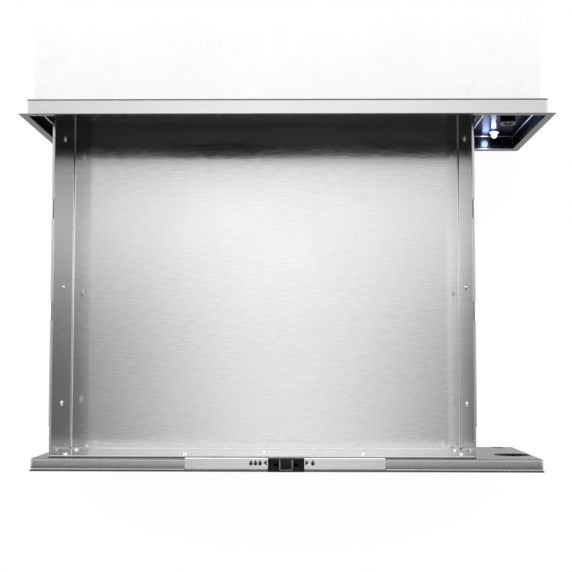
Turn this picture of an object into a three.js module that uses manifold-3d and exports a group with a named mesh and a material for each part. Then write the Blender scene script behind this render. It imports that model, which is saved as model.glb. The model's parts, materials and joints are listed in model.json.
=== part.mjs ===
// Built-in warming drawer, shown pulled fully open.
// Millimetres, +Z up, the front faces -Y, +X is the viewer's right.
// Origin: the middle of the housing's underside, which stands on the floor of the cabinet cut-out.
// The pieces are drawn with y = 0 in the plane of the trim's front face, and moved to the origin at the end.

import * as THREE from "three";
import Module from "manifold-3d";

const wasm = await Module();
wasm.setup();

// ---------------------------------------------------------------- driving dimensions

// Sheet thicknesses and clearances
const SHEET = 1.0; // stainless and zinc-coated sheet
const TRIM_SHEET = 1.2; // trim frame sheet
const SKIN = 2.0; // front plate, stiff enough to carry a kitchen front
const SEAT = 0.3; // gap between two faces that touch
const BEND = 1.5; // inside radius of a fold

// Trim frame and the collar behind it
const FRAME_W = 762;
const FRAME_H = 285;
const FRAME_MEMBER = 11.5; // face width of each trim bar
const TRIM_LIP = 8; // how far the inner return of a trim bar reaches back
const COLLAR_DEPTH = 23; // front face of the trim to the control wall
const COLLAR_GAP = 0.3;

// Housing behind the collar
const SIDE_LAP = 16; // trim beyond the housing, each side
const TOP_LAP = 12; // trim beyond the housing's top
const REAR_SPACE = 46; // depth of the whole, beyond the pan's length
const SKID_INSET = 145; // housing's sides to its skids
const INSULATION = 11;
const UNDERLAY = 30; // insulation below the cavity
const SKID_H = 5; // height of the skids pressed into the base
const LINER_FOLD = 4; // inside radius of the cavity liner's folds
const DUCT_GAP = 2; // liner insulation to the wiring duct's partition

// Pan
const PAN_SIDE = 28; // housing's left side to the pan's inside
const CONTROL_BAY = 97.5; // pan's inside to the housing's right side
const PAN_DEPTH = 143; // rim to floor, inside
const PAN_LENGTH = 539; // inside
const RIM_DROP = 41; // trim top edge to pan rim
const RIM_FLANGE = 5;
const RIM_END = 42; // flange stops this far behind the pan's front wall
const RIM_NOTCH = 28; // length of each notch in the side flanges
const RIM_NOTCHES = [193, 341]; // from the pan's front wall to each notch's front end
const PAN_BEND = 2.5;

// Drawer front
const PANEL_INSET = 21; // trim edge to panel edge, each side
const PANEL_RISE = 37; // trim bottom edge to panel bottom
const PANEL_BOX = 16.5; // depth of the folded box behind the front plate
const PANEL_DROP = 15.5; // trim top edge to panel top
const SKIN_OVERHANG = 1.5; // front plate beyond the box, each side
const SKIN_REVEAL = 4; // front plate to the trim below it
const OVER_TRAVEL = 4; // opening travel beyond the slide's length
const FRONT_HOLE_INSET = 60; // screw holes for a kitchen front, from the plate's edges
const FRONT_HOLE_D = 5.5;
const PLATE_EDGE = 3.2; // knob's hole, and the panel's top and bottom, to the control plate's edges
const PLATE_LIGAMENT = 1.2; // knob's hole to the control plate's outer edge
const STIFFENER_W = 19;
const STIFFENER_LIP = 1.7;
const STIFFENER_ENDS = [40, 20]; // panel's bottom and top to its ends
const BOARD_EDGE = 4; // insulation board to the folded edges

// Controls
const KNOB_INSET = 35; // housing's right side to knob axis
const KNOB_DROP = 94; // trim top edge to knob axis
const KNOB_D = 22;
const KNOB_SKIRT_D = 34;
const KNOB_REACH = 18; // control wall to the knob's front face
const KNOB_HOLE_D = 53; // clearance hole in the back of the drawer front
const THERMOSTAT_W = 42;
const THERMOSTAT_L = 30;
const LAMP_INSET = 32; // housing's right side to lamp axis
const LAMP_RISE = 53; // trim bottom edge to lamp axis
const LAMP_D = 11;
const LAMP_BEZEL_D = 15;
const LAMP_REACH = 12;
const LAMP_HOLE_D = 21;

// Moisture control
const STRIP_LEFT = -142; // legend strip on top of the drawer front
const STRIP_RIGHT = 139;
const STRIP_SHEET = 0.8;
const STRIP_LIP = 3.5;
const OUTLET_SLOT = 3.2; // steam outlet between the strip and the front plate
const BEZEL_W = 51;
const SLIDER_W = 20.5;
const STEM_W = 8;
const SLIDER_TRAVEL = 13; // each way from the middle
const VENT_PITCH = 10.5;
const VENT_SLOT_W = 5;
const VENT_SLOT_H = 8;
const VENT_SLOTS = 3; // slots in a group; a group is as wide as the slider's whole travel
const VENT_GROUPS = [-113, -48, 10]; // middle of each group's first slot

// Telescopic slides, three members each
const SLIDE_SHORT = 39; // pan's length less the slide's
const SLIDE_T = 12.7;
const SLIDE_H = 45;
const SLIDE_SHEET = 1.2;
const SLIDE_DROP = 110; // trim top edge to the slide's centre line
const SLIDE_SETBACK = 27; // control wall's plane to the front end of the shut slide
const RIVETS = [0.134, 0.456, 0.874]; // along the pan's length, from its front wall
const RIVET_D = 4;
const RIVET_HEAD_D = 8;
const BALL_D = 3.6;
const BALLS_PER_ROW = 4;
const CAGE_LENGTH = 70;

// Seal round the cavity mouth
const SEAL_W = 5;
const SEAL_T = 4.5;

// Heating
const ELEMENT_D = 6.5;
const ELEMENT_GAP = 16; // liner floor to the element's centre line
const ELEMENT_LOOPS = 3;
const ELEMENT_MARGIN = [70, 45, 80]; // liner's sides, mouth and rear wall to the element
const ELEMENT_BEND = 20;
const ELEMENT_ENDS = 80; // between the two ends, where they pass through the rear wall
const ELEMENT_PITCH = 60; // an end to the lane beside it
const BULB_L = 85;
const BULB_D = 7;
const BULB_INSET = 60; // liner's side wall to the capillary
const LOOM_REACH = [50, 106]; // thermostat to the loom's two bends
const STOP_INSET = 60; // pan's side walls to the rear stops
const STOP_DROP = 30; // pan rim to the rear stops

// Screws that hold the pan to the drawer front, as shares of the pan's width and depth
const PAN_SCREWS = [
  [0.025, 0.182],
  [0.025, 0.734],
  [0.313, 0.224],
  [0.501, 0.483],
  [0.743, 0.301],
  [0.981, 0.301],
  [0.981, 0.776],
];
const SCREW_D = 4;
const SCREW_HEAD_D = 8.5;
const SCREW_HEAD_T = 2.2;

// ---------------------------------------------------------------- sizes that follow

const housingRear = PAN_LENGTH + REAR_SPACE; // outside face of the rear panel
const slideLength = PAN_LENGTH - SLIDE_SHORT;
const travel = slideLength + OVER_TRAVEL;

const frameBottom = SHEET + COLLAR_GAP + TRIM_SHEET - FRAME_MEMBER;
const frameTop = frameBottom + FRAME_H;
const below = (drop) => frameTop - drop; // height of a point given as a drop from the trim's top

const collarInnerX = FRAME_W / 2 - FRAME_MEMBER + TRIM_SHEET + COLLAR_GAP;
const collarOuterX = collarInnerX + SHEET;
const collarInnerTop = frameTop - FRAME_MEMBER + TRIM_SHEET + COLLAR_GAP;
const collarTop = collarInnerTop + SHEET;
const wallFront = COLLAR_DEPTH; // front and back of the control wall
const wallBack = COLLAR_DEPTH + SHEET;

const housingHalf = FRAME_W / 2 - SIDE_LAP;
const housingTop = frameTop - TOP_LAP;

// The pan sits off centre, to leave room for the controls.
const panLeft = -housingHalf + PAN_SIDE;
const panRight = housingHalf - CONTROL_BAY;
const rimZ = below(RIM_DROP);
const floorZ = rimZ - PAN_DEPTH;
const panelBack = wallFront - SEAL_T - 2 * SEAT - travel; // back face of the drawer front, open
const panFrontOut = panelBack + SEAT;
const panFrontIn = panFrontOut + SHEET;
const panRearIn = panFrontIn + PAN_LENGTH;
const panRearOut = panRearIn + SHEET;

const halfPanel = FRAME_W / 2 - PANEL_INSET;
const panelTop = below(PANEL_DROP);
const panelBottom = frameBottom + PANEL_RISE;
const skinBack = panelBack - PANEL_BOX;
const skinFront = skinBack - SKIN;
const skinBottom = frameBottom + FRAME_MEMBER + SKIN_REVEAL;

const slideZ = below(SLIDE_DROP);
const linerLeft = panLeft - SHEET - SLIDE_T - 2 * SEAT;
const linerRight = panRight + SHEET + SLIDE_T + 2 * SEAT;
const linerTop = housingTop - SHEET - INSULATION - 2 * SEAT - SHEET;
const skidTopZ = SKID_H + SHEET;
const linerFloor = skidTopZ + UNDERLAY + 2 * SEAT + SHEET;
const linerRear = housingRear - SHEET - INSULATION - 3 * SEAT - SHEET;
const partitionX = linerRight + SHEET + INSULATION + 2 * SEAT + DUCT_GAP;
const knobX = housingHalf - KNOB_INSET;
const knobZ = below(KNOB_DROP);
const lampX = housingHalf - LAMP_INSET;
const lampZ = frameBottom + LAMP_RISE;
const panScrews = PAN_SCREWS.map(([across, down]) => [
  panLeft + across * (panRight - panLeft),
  rimZ - down * PAN_DEPTH,
]);

// ---------------------------------------------------------------- materials

const metal = (color, roughness) =>
  new THREE.MeshStandardMaterial({ color, roughness, metalness: 0.9 });
const matte = (color, roughness = 0.8) =>
  new THREE.MeshStandardMaterial({ color, roughness, metalness: 0 });

const stainless = metal(0xc4c6c8, 0.34);
const darkStainless = metal(0x6b6d72, 0.3);
const zinc = metal(0xb4b8bb, 0.55);
const chrome = metal(0xe2e4e8, 0.1);
const blackPlastic = matte(0x141416, 0.35);
const glassFibre = matte(0xe6dfae, 1.0);
const rubber = matte(0x2a2a2c, 0.9);
const heaterSheath = metal(0x55504c, 0.6);
const ceramic = matte(0xf0ece2, 0.5);
const lampLens = new THREE.MeshStandardMaterial({
  color: 0xdfe9ff,
  emissive: 0x9fc0ff,
  emissiveIntensity: 2,
  roughness: 0.2,
});
const wireSleeve = matte(0x8f8a80, 0.9);

// ---------------------------------------------------------------- form helpers

// A three.js geometry as a manifold solid.
function toSolid(geometry) {
  const flat = geometry.index ? geometry.toNonIndexed() : geometry;
  const source = flat.getAttribute("position").array;
  const seen = new Map();
  const vertices = [];
  const triangles = new Uint32Array(source.length / 3);
  for (let i = 0; i < source.length; i += 3) {
    const key = [source[i], source[i + 1], source[i + 2]].map((v) => Math.round(v * 1e4)).join();
    if (!seen.has(key)) {
      seen.set(key, vertices.length / 3);
      vertices.push(source[i], source[i + 1], source[i + 2]);
    }
    triangles[i / 3] = seen.get(key);
  }
  return new wasm.Manifold(
    new wasm.Mesh({
      numProp: 3,
      vertProperties: new Float32Array(vertices),
      triVerts: triangles,
    }),
  );
}

// A manifold solid back as a three.js geometry with flat faces.
function toGeometry(solid) {
  const { vertProperties, triVerts } = solid.getMesh();
  const geometry = new THREE.BufferGeometry();
  geometry.setAttribute("position", new THREE.BufferAttribute(new Float32Array(vertProperties), 3));
  geometry.setIndex(new THREE.BufferAttribute(new Uint32Array(triVerts), 1));
  const flat = geometry.toNonIndexed();
  flat.computeVertexNormals();
  return flat;
}

const cut = (body, ...tools) => tools.reduce((solid, tool) => solid.subtract(tool), body);
const join = (...bodies) => bodies.reduce((solid, body) => solid.add(body));

function block([x0, x1], [y0, y1], [z0, z1]) {
  const geometry = new THREE.BoxGeometry(x1 - x0, y1 - y0, z1 - z0);
  return toSolid(geometry.translate((x0 + x1) / 2, (y0 + y1) / 2, (z0 + z1) / 2));
}

// A round bar along X, Y or Z, from one coordinate to another on that axis.
function rod(axis, [from, to], centre, diameter, segments = 24) {
  const geometry = new THREE.CylinderGeometry(diameter / 2, diameter / 2, to - from, segments);
  if (axis === "x") geometry.rotateZ(-Math.PI / 2);
  if (axis === "z") geometry.rotateX(Math.PI / 2);
  const middle = (from + to) / 2;
  if (axis === "x") geometry.translate(middle, centre[0], centre[1]);
  if (axis === "y") geometry.translate(centre[0], middle, centre[1]);
  if (axis === "z") geometry.translate(centre[0], centre[1], middle);
  return toSolid(geometry);
}

// A profile turned about an axis along Y: pairs of radius and distance in front of the start plane.
function turned(profile, x, z, startY, segments = 28) {
  const points = profile.map(([radius, reach]) => new THREE.Vector2(radius, reach));
  const geometry = new THREE.LatheGeometry(points, segments).rotateX(Math.PI);
  return toSolid(geometry.translate(x, startY, z));
}

// A closed outline in the XZ plane swept along Y.
function extrudeY(shape, y0, y1) {
  const geometry = new THREE.ExtrudeGeometry(shape, { depth: y1 - y0, bevelEnabled: false });
  return toSolid(geometry.rotateX(Math.PI / 2).translate(0, y1, 0));
}

// A closed outline in the YZ plane swept along X.
function extrudeX(shape, x0, x1) {
  const geometry = new THREE.ExtrudeGeometry(shape, { depth: x1 - x0, bevelEnabled: false });
  const turn = new THREE.Matrix4().set(0, 0, 1, x0, 1, 0, 0, 0, 0, 1, 0, 0, 0, 0, 0, 1);
  return toSolid(geometry.applyMatrix4(turn));
}

// The outline of a sheet folded along a centre line, with the same inside radius at every fold.
function foldedSheet(path, thickness, radius = BEND, steps = 3) {
  const points = path.map(([x, y]) => new THREE.Vector2(x, y));
  const left = [];
  const right = [];
  const half = thickness / 2;
  const leftOf = (d) => new THREE.Vector2(-d.y, d.x);
  const put = (point, normal) => {
    left.push(point.clone().addScaledVector(normal, half));
    right.push(point.clone().addScaledVector(normal, -half));
  };
  points.forEach((point, i) => {
    const into = i > 0 ? point.clone().sub(points[i - 1]).normalize() : null;
    const out = i < points.length - 1 ? points[i + 1].clone().sub(point).normalize() : null;
    if (!into || !out) {
      put(point, leftOf(into || out));
      return;
    }
    const angle = Math.atan2(into.cross(out), into.dot(out));
    const side = Math.sign(angle);
    const middle = radius + half;
    const start = point.clone().addScaledVector(into, -middle * Math.tan(Math.abs(angle) / 2));
    const centre = start.clone().addScaledVector(leftOf(into), side * middle);
    for (let k = 0; k <= steps; k++) {
      const direction = into.clone().rotateAround(new THREE.Vector2(), (angle * k) / steps);
      const normal = leftOf(direction);
      put(centre.clone().addScaledVector(normal, -side * middle), normal);
    }
  });
  return new THREE.Shape([...left, ...right.reverse()]);
}

// A skin over a list of rings of equal length: capped at both ends, or closed on itself.
function loft(rings, { closed = false, cap = null } = {}) {
  const count = rings[0].length;
  const positions = [];
  const put = (p) => positions.push(p.x, p.y, p.z);
  const last = closed ? rings.length : rings.length - 1;
  for (let i = 0; i < last; i++) {
    const a = rings[i];
    const b = rings[(i + 1) % rings.length];
    for (let j = 0; j < count; j++) {
      const k = (j + 1) % count;
      [a[j], a[k], b[k], a[j], b[k], b[j]].forEach(put);
    }
  }
  if (!closed) {
    const outline = cap || rings[0].map((p) => new THREE.Vector2(p.x, p.y));
    const faces = THREE.ShapeUtils.triangulateShape(outline, []);
    faces.forEach(([p, q, r]) => [rings[0][r], rings[0][q], rings[0][p]].forEach(put));
    const end = rings[rings.length - 1];
    faces.forEach(([p, q, r]) => [end[p], end[q], end[r]].forEach(put));
  }
  const geometry = new THREE.BufferGeometry();
  geometry.setAttribute("position", new THREE.Float32BufferAttribute(positions, 3));
  return toSolid(geometry);
}

// A rounded rectangle in the XY plane at one height, as a ring of points.
function roundedRing([x0, x1], [y0, y1], radius, z, steps = 3) {
  const corners = [
    [x1 - radius, y0 + radius, -Math.PI / 2],
    [x1 - radius, y1 - radius, 0],
    [x0 + radius, y1 - radius, Math.PI / 2],
    [x0 + radius, y0 + radius, Math.PI],
  ];
  return corners.flatMap(([x, y, start]) =>
    Array.from({ length: steps + 1 }, (_, k) => {
      const a = start + (k / steps) * (Math.PI / 2);
      return new THREE.Vector3(x + radius * Math.cos(a), y + radius * Math.sin(a), z);
    }),
  );
}

// The same rounded rectangle as flat points, for shapes and holes.
const flatRing = (xs, ys, radius) =>
  roundedRing(xs, ys, radius, 0).map((p) => new THREE.Vector2(p.x, p.y));

// An open sheet-metal tray, its inside given by spans and a depth, with a flange round its mouth.
// The mouth is at z = 0 and opens along +Z; floor folds have the given inside radius.
function tray([x0, x1], [y0, y1], depth, { sheet = SHEET, fold = PAN_BEND, flange = 0, steps = 3 }) {
  const rings = [];
  const grow = (by, z, radius) =>
    rings.push(roundedRing([x0 - by, x1 + by], [y0 - by, y1 + by], radius, z, steps));
  const arc = (radius, centreIn, k) => {
    const a = (k / steps) * (Math.PI / 2);
    return [centreIn + radius * Math.sin(a), -depth + fold - radius * Math.cos(a)];
  };
  for (let k = 0; k <= steps; k++) {
    const [by, z] = arc(fold + sheet, -fold, k);
    grow(by, z, Math.max(by + fold, 0.2));
  }
  if (flange) {
    grow(sheet, -sheet, fold + sheet);
    grow(sheet + flange, -sheet, fold + sheet + flange);
    grow(sheet + flange, 0, fold + sheet + flange);
  } else grow(sheet, 0, fold + sheet);
  for (let k = steps; k >= 0; k--) {
    const [by, z] = arc(fold, -fold, k);
    if (k === steps) grow(0, 0, fold);
    grow(by, z, Math.max(by + fold, 0.2));
  }
  return loft(rings);
}

// Turns a tray that opens along +Z so that it opens toward the front, with its mouth in one plane.
function facingFront(solid, mouthY) {
  return solid.rotate([90, 0, 0]).translate([0, mouthY, 0]);
}

// A tube of one diameter along a curve.
function tube(curve, diameter, steps, segments = 8) {
  const circle = new THREE.Shape();
  circle.absarc(0, 0, diameter / 2, 0, 2 * Math.PI);
  const geometry = new THREE.ExtrudeGeometry(circle, {
    steps,
    curveSegments: segments,
    extrudePath: curve,
    bevelEnabled: false,
  });
  return toSolid(geometry);
}

// A round bar bent in a level plane: straight runs joined by arcs of one radius.
function bentBar(corners, z, bend, diameter, segments = 8, steps = 4) {
  const points = corners.map(([x, y]) => new THREE.Vector2(x, y));
  const stations = []; // centre and heading of each ring
  points.forEach((point, i) => {
    const into = i > 0 ? point.clone().sub(points[i - 1]).normalize() : null;
    const out = i < points.length - 1 ? points[i + 1].clone().sub(point).normalize() : null;
    if (!into || !out) {
      stations.push([point, into || out]);
      return;
    }
    const angle = Math.atan2(into.cross(out), into.dot(out));
    const toCentre = Math.sign(angle) * bend;
    const start = point.clone().addScaledVector(into, -bend * Math.tan(Math.abs(angle) / 2));
    const centre = start.add(new THREE.Vector2(-into.y, into.x).multiplyScalar(toCentre));
    for (let k = 0; k <= steps; k++) {
      const heading = into.clone().rotateAround(new THREE.Vector2(), (angle * k) / steps);
      const normal = new THREE.Vector2(-heading.y, heading.x);
      stations.push([centre.clone().addScaledVector(normal, -toCentre), heading]);
    }
  });
  const circle = Array.from({ length: segments }, (_, k) => {
    const a = (k / segments) * 2 * Math.PI;
    return new THREE.Vector2((diameter / 2) * Math.cos(a), (diameter / 2) * Math.sin(a));
  });
  const rings = stations.map(([centre, heading]) =>
    circle.map((p) => new THREE.Vector3(centre.x - heading.y * p.x, centre.y + heading.x * p.x, z + p.y)),
  );
  return loft(rings, { cap: circle });
}

// A path of straight runs joined by arcs, through corner points with one bend radius.
function bentPath(corners, radius) {
  const path = new THREE.CurvePath();
  const points = corners.map((c) => new THREE.Vector3(...c));
  let from = points[0];
  for (let i = 1; i < points.length - 1; i++) {
    const into = points[i - 1].clone().sub(points[i]).normalize();
    const out = points[i + 1].clone().sub(points[i]).normalize();
    const start = points[i].clone().addScaledVector(into, radius);
    const end = points[i].clone().addScaledVector(out, radius);
    path.add(new THREE.LineCurve3(from, start));
    path.add(new THREE.QuadraticBezierCurve3(start, points[i], end));
    from = end;
  }
  path.add(new THREE.LineCurve3(from, points[points.length - 1]));
  return path;
}

const drawer = new THREE.Group();
drawer.name = "warming_drawer";

const originY = (wallBack + SEAT + housingRear - SHEET - SEAT) / 2; // middle of the base, from the trim

function add(name, solid, material) {
  const mesh = new THREE.Mesh(toGeometry(solid.translate([0, -originY, 0])), material);
  mesh.name = name;
  drawer.add(mesh);
}

const mirrorX = (solid) => solid.mirror([1, 0, 0]);

// ---------------------------------------------------------------- housing

// Folded wrap: two sides and the top in one sheet, with a screw flange turned in along each bottom edge.
const side = housingHalf - SHEET / 2;
const wrapTop = housingTop - SHEET / 2;
const wrapFoot = 12;
const baseTop = SHEET + SEAT;
const wrapShape = foldedSheet(
  [
    [side - wrapFoot, baseTop + SHEET / 2],
    [side, baseTop + SHEET / 2],
    [side, wrapTop],
    [-side, wrapTop],
    [-side, baseTop + SHEET / 2],
    [-side + wrapFoot, baseTop + SHEET / 2],
  ],
  SHEET,
);
const wrapRear = housingRear - SHEET - SEAT;
// Louvres over the wiring duct let its heat out.
const LOUVRES = 7;
const LOUVRE_W = 6;
const LOUVRE_PITCH = 26;
const louvres = Array.from({ length: LOUVRES }, (_, i) => {
  const y = wrapRear - 80 - i * LOUVRE_PITCH;
  return block([partitionX + 12, side - 12], [y - LOUVRE_W, y], [housingTop - 3, housingTop + 1]);
});
add("housing_wrap", cut(extrudeY(wrapShape, wallBack + SEAT, wrapRear), ...louvres), zinc);

// Base tray with two pressed skids along its length.
const base = block([-housingHalf, housingHalf], [wallBack + SEAT, wrapRear], [0, SHEET]);
const skidX = housingHalf - SKID_INSET;
const SKID_HALF_W = 14;
const skidSpan = [wallBack + 36, wrapRear - 36];
const grown = ([from, to], by) => [from - by, to + by];
const skidWidth = (x) => [x - SKID_HALF_W, x + SKID_HALF_W];
const skid = (x) => block(grown(skidWidth(x), SHEET), grown(skidSpan, SHEET), [0, skidTopZ]);
const skidHollow = (x) => block(skidWidth(x), skidSpan, [-1, SKID_H]);
add(
  "housing_base",
  cut(join(base, skid(-skidX), skid(skidX)), skidHollow(-skidX), skidHollow(skidX)),
  zinc,
);

// Rear panel with the cable entry, two element entries and cooling slots for the wiring duct.
const entryX = (partitionX + side) / 2;
const entryZ = 60;
const rearPanel = block(
  [-housingHalf, housingHalf],
  [housingRear - SHEET, housingRear],
  [0, housingTop],
);
const rearSlots = Array.from({ length: 6 }, (_, i) =>
  block([partitionX + 10, side - 10], [housingRear - 5, housingRear + 5], [130 + i * 16, 136 + i * 16]),
);
const entryHole = rod("y", [housingRear - 5, housingRear + 5], [entryX, entryZ], 24);
add("rear_panel", cut(rearPanel, entryHole, ...rearSlots), zinc);

// Cavity liner, a deep tray lying on its back wall, open to the front.
const elementZ = linerFloor + ELEMENT_GAP;
const elementEnds = [-ELEMENT_ENDS / 2, ELEMENT_ENDS / 2];
const liner = facingFront(
  tray([linerLeft, linerRight], [linerFloor, linerTop], linerRear - wallBack - SEAT, {
    fold: LINER_FOLD,
    flange: 6,
  }),
  wallBack + SEAT,
);
const elementHoles = elementEnds.map((x) =>
  rod("y", [linerRear - 8, linerRear + 4], [x, elementZ], ELEMENT_D + 2 * SEAT),
);
const bulbZ = (elementZ + floorZ) / 2; // between the element and the pan's floor
const bulbX = linerRight - BULB_INSET;
const bulbHole = rod("y", [linerRear - 8, linerRear + 4], [bulbX, bulbZ], 3.4, 12);
add("cavity_liner", cut(liner, ...elementHoles, bulbHole), darkStainless);

// Glass-fibre jacket: a sleeve round the liner, closed by a pad behind it.
const wrapInner = housingHalf - SHEET;
const sleeveRight = linerRight + SHEET + SEAT + INSULATION;
const sleeveShape = new THREE.Shape(
  flatRing(
    [-wrapInner + SEAT, sleeveRight],
    [skidTopZ + SEAT, housingTop - SHEET - SEAT],
    BEND + SHEET,
  ),
);
sleeveShape.holes.push(
  new THREE.Path(
    flatRing(
      [linerLeft - SHEET - SEAT, linerRight + SHEET + SEAT],
      [linerFloor - SHEET - SEAT, linerTop + SHEET + SEAT],
      LINER_FOLD + SHEET,
    ),
  ),
);
const sleeveStart = wallBack + 2 * SEAT + SHEET;
const padFront = linerRear + SHEET + SEAT;
const rearPad = block(
  [-wrapInner + SEAT, sleeveRight],
  [padFront, housingRear - SHEET - SEAT],
  [skidTopZ + SEAT, housingTop - 2 * SHEET - SEAT],
);
const rearPadHoles = elementEnds.map((x) =>
  rod("y", [linerRear, housingRear], [x, elementZ], ELEMENT_D + 2 * SEAT),
);
const bulbPadHole = rod("y", [linerRear, housingRear], [bulbX, bulbZ], 3.4, 12);
add(
  "insulation_jacket",
  cut(join(extrudeY(sleeveShape, sleeveStart, padFront + SEAT), rearPad), ...rearPadHoles, bulbPadHole),
  glassFibre,
);

// Collar: a shallow tray whose floor is the control wall, cut out for the cavity.
const collar = facingFront(
  tray(
    [-collarInnerX, collarInnerX],
    [SHEET, collarInnerTop],
    wallFront - TRIM_SHEET - SEAT,
    { fold: 1.2 },
  ),
  TRIM_SHEET + SEAT,
);
const cavityMouth = block([linerLeft, linerRight], [10, 40], [linerFloor, linerTop]);
const knobHole = rod("y", [10, 40], [knobX, knobZ], 10);
const lampHole = rod("y", [10, 40], [lampX, lampZ], 10.4);
add("collar", cut(collar, cavityMouth, knobHole, lampHole), stainless);

// Trim bars: one L profile, mitred at both ends.
const trimProfile = [
  [0, 0],
  [FRAME_MEMBER, 0],
  [FRAME_MEMBER, TRIM_LIP],
  [FRAME_MEMBER - TRIM_SHEET, TRIM_LIP],
  [FRAME_MEMBER - TRIM_SHEET, TRIM_SHEET],
  [0, TRIM_SHEET],
];
function trimBar(place, reversed) {
  const outline = trimProfile.map(([u, v]) => new THREE.Vector2(u, v));
  const ends = [-1, 1].map((end) => trimProfile.map(([u, v]) => place(u, v, end)));
  return loft(reversed ? ends.reverse() : ends, { cap: outline });
}
const mitreGap = SEAT / 2;
const alongX = (u, end) => end * (FRAME_W / 2 - u - mitreGap);
const frameMid = (frameTop + frameBottom) / 2;
const alongZ = (u, end) => frameMid + end * (FRAME_H / 2 - u - mitreGap);
const V = (x, y, z) => new THREE.Vector3(x, y, z);
add("trim_top", trimBar((u, v, e) => V(alongX(u, e), v, frameTop - u), false), stainless);
add("trim_bottom", trimBar((u, v, e) => V(alongX(u, e), v, frameBottom + u), true), stainless);
add("trim_left", trimBar((u, v, e) => V(-FRAME_W / 2 + u, v, alongZ(u, e)), false), stainless);
add("trim_right", trimBar((u, v, e) => V(FRAME_W / 2 - u, v, alongZ(u, e)), true), stainless);

// Seal round the cavity mouth: a hollow-looking bulb on a flat foot, one closed ring.
const sealRings = Array.from({ length: 7 }, (_, k) => {
  const a = (k / 6) * Math.PI;
  return [1 + SEAL_W / 2 - (SEAL_W / 2) * Math.cos(a), 1 + (SEAL_T - 1) * Math.sin(a)];
});
const sealProfile = [[1 + SEAL_W, 0], [1, 0], ...sealRings];
const sealLoops = sealProfile.map(([out, up]) =>
  roundedRing([linerLeft - out, linerRight + out], [linerFloor - out, linerTop + out], 4 + out, up),
);
const seal = loft(sealLoops.reverse(), { closed: true });
add("cavity_seal", facingFront(seal, wallFront - SEAT), rubber);

// Partition between the insulation and the wiring duct.
const partition = foldedSheet(
  [
    [partitionX + 10, baseTop + SHEET / 2],
    [partitionX + SHEET / 2, baseTop + SHEET / 2],
    [partitionX + SHEET / 2, housingTop - 1.5 * SHEET - SEAT],
    [partitionX + 10, housingTop - 1.5 * SHEET - SEAT],
  ],
  SHEET,
);
add("duct_partition", extrudeY(partition, wallBack + SEAT, wrapRear), zinc);

// ---------------------------------------------------------------- controls on the control wall

const bodyY = wallBack + SEAT;
const caseHalf = THERMOSTAT_W / 2;
const thermostatCase = block(
  [knobX - caseHalf, knobX + caseHalf],
  [bodyY, bodyY + THERMOSTAT_L],
  [knobZ - caseHalf, knobZ + caseHalf],
);
const bushing = rod("y", [wallFront + 0.2, bodyY + 1], [knobX, knobZ], 9.4);
const shaftBore = rod("y", [wallFront - 2, bodyY + 12], [knobX, knobZ], 6.6);
const tabs = [-14, -5, 5, 14].map((dx) =>
  block(
    [knobX + dx - 3, knobX + dx + 3],
    [bodyY + THERMOSTAT_L - 1, bodyY + THERMOSTAT_L + 9],
    [knobZ - 10, knobZ - 9.2],
  ),
);
add("thermostat", cut(join(thermostatCase, bushing, ...tabs), shaftBore), ceramic);

const knobBack = wallFront - 0.8;
const knobFront = wallFront - KNOB_REACH;
// D-section shaft: round in the thermostat, flattened where the knob grips it.
const shaft = rod("y", [knobFront + 5, bodyY + 11.5], [knobX, knobZ], 6);
const flat = block([knobX + 1.6, knobX + 4], [knobFront, wallFront - 2], [knobZ - 4, knobZ + 4]);
add("thermostat_shaft", cut(shaft, flat), zinc);

const knobBody = turned(
  [
    [0, 0],
    [KNOB_SKIRT_D / 2 - 1, 0],
    [KNOB_SKIRT_D / 2, 0.8],
    [KNOB_SKIRT_D / 2 - 0.6, 2.6],
    [KNOB_D / 2 + 1.4, 3.6],
    [KNOB_D / 2 + 0.4, 4.6],
    [KNOB_D / 2, KNOB_REACH - 3],
    [KNOB_D / 2 - 2.4, KNOB_REACH - 2.6],
    [KNOB_D / 2 - 2.4, KNOB_REACH - 0.8 - 0.9],
    [0, KNOB_REACH - 0.8 - 0.9],
  ],
  knobX,
  knobZ,
  knobBack,
);
const pointer = block([knobX - 0.9, knobX + 0.9], [knobBack - 4, knobBack - 2], [knobZ + 13, knobZ + 16.4]);
const dBore = cut(
  rod("y", [knobFront + 4, wallFront + 1], [knobX, knobZ], 6 + 2 * SEAT),
  block([knobX + 1.6 + SEAT, knobX + 5], [knobFront, wallFront - 2], [knobZ - 5, knobZ + 5]),
);
add("control_knob", cut(knobBody, dBore, pointer), blackPlastic);

const ringOuter = KNOB_D / 2 + 0.2;
add(
  "knob_ring",
  turned(
    [
      [KNOB_D / 2 - 2.1, KNOB_REACH - 2.3],
      [ringOuter, KNOB_REACH - 2.7],
      [ringOuter, KNOB_REACH - 1.4],
      [ringOuter - 0.6, KNOB_REACH - 0.8],
      [KNOB_D / 2 - 2.1, KNOB_REACH - 0.8],
      [KNOB_D / 2 - 2.1, KNOB_REACH - 2.3],
    ],
    knobX,
    knobZ,
    knobBack,
  ),
  chrome,
);

const lampBase = wallFront - SEAT;
add(
  "lamp_bezel",
  turned(
    [
      [LAMP_D / 2 + SEAT, 0],
      [LAMP_BEZEL_D / 2, 0],
      [LAMP_BEZEL_D / 2, 1.2],
      [LAMP_BEZEL_D / 2 - 0.8, 2],
      [LAMP_D / 2 + SEAT, 2],
      [LAMP_D / 2 + SEAT, 0],
    ],
    lampX,
    lampZ,
    lampBase,
    20,
  ),
  chrome,
);
const lensR = LAMP_D / 2;
const lensDome = Array.from({ length: 5 }, (_, k) => {
  const a = (k / 4) * (Math.PI / 2);
  return [lensR * Math.cos(a), LAMP_REACH - lensR + lensR * Math.sin(a)];
});
lensDome[4][0] = 0;
add(
  "lamp_lens",
  turned([[0, -6], [4.6, -6], [4.6, 0], [lensR, 0], ...lensDome], lampX, lampZ, lampBase, 20),
  lampLens,
);
const holder = rod("y", [bodyY, bodyY + 26], [lampX, lampZ], 17);
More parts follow.
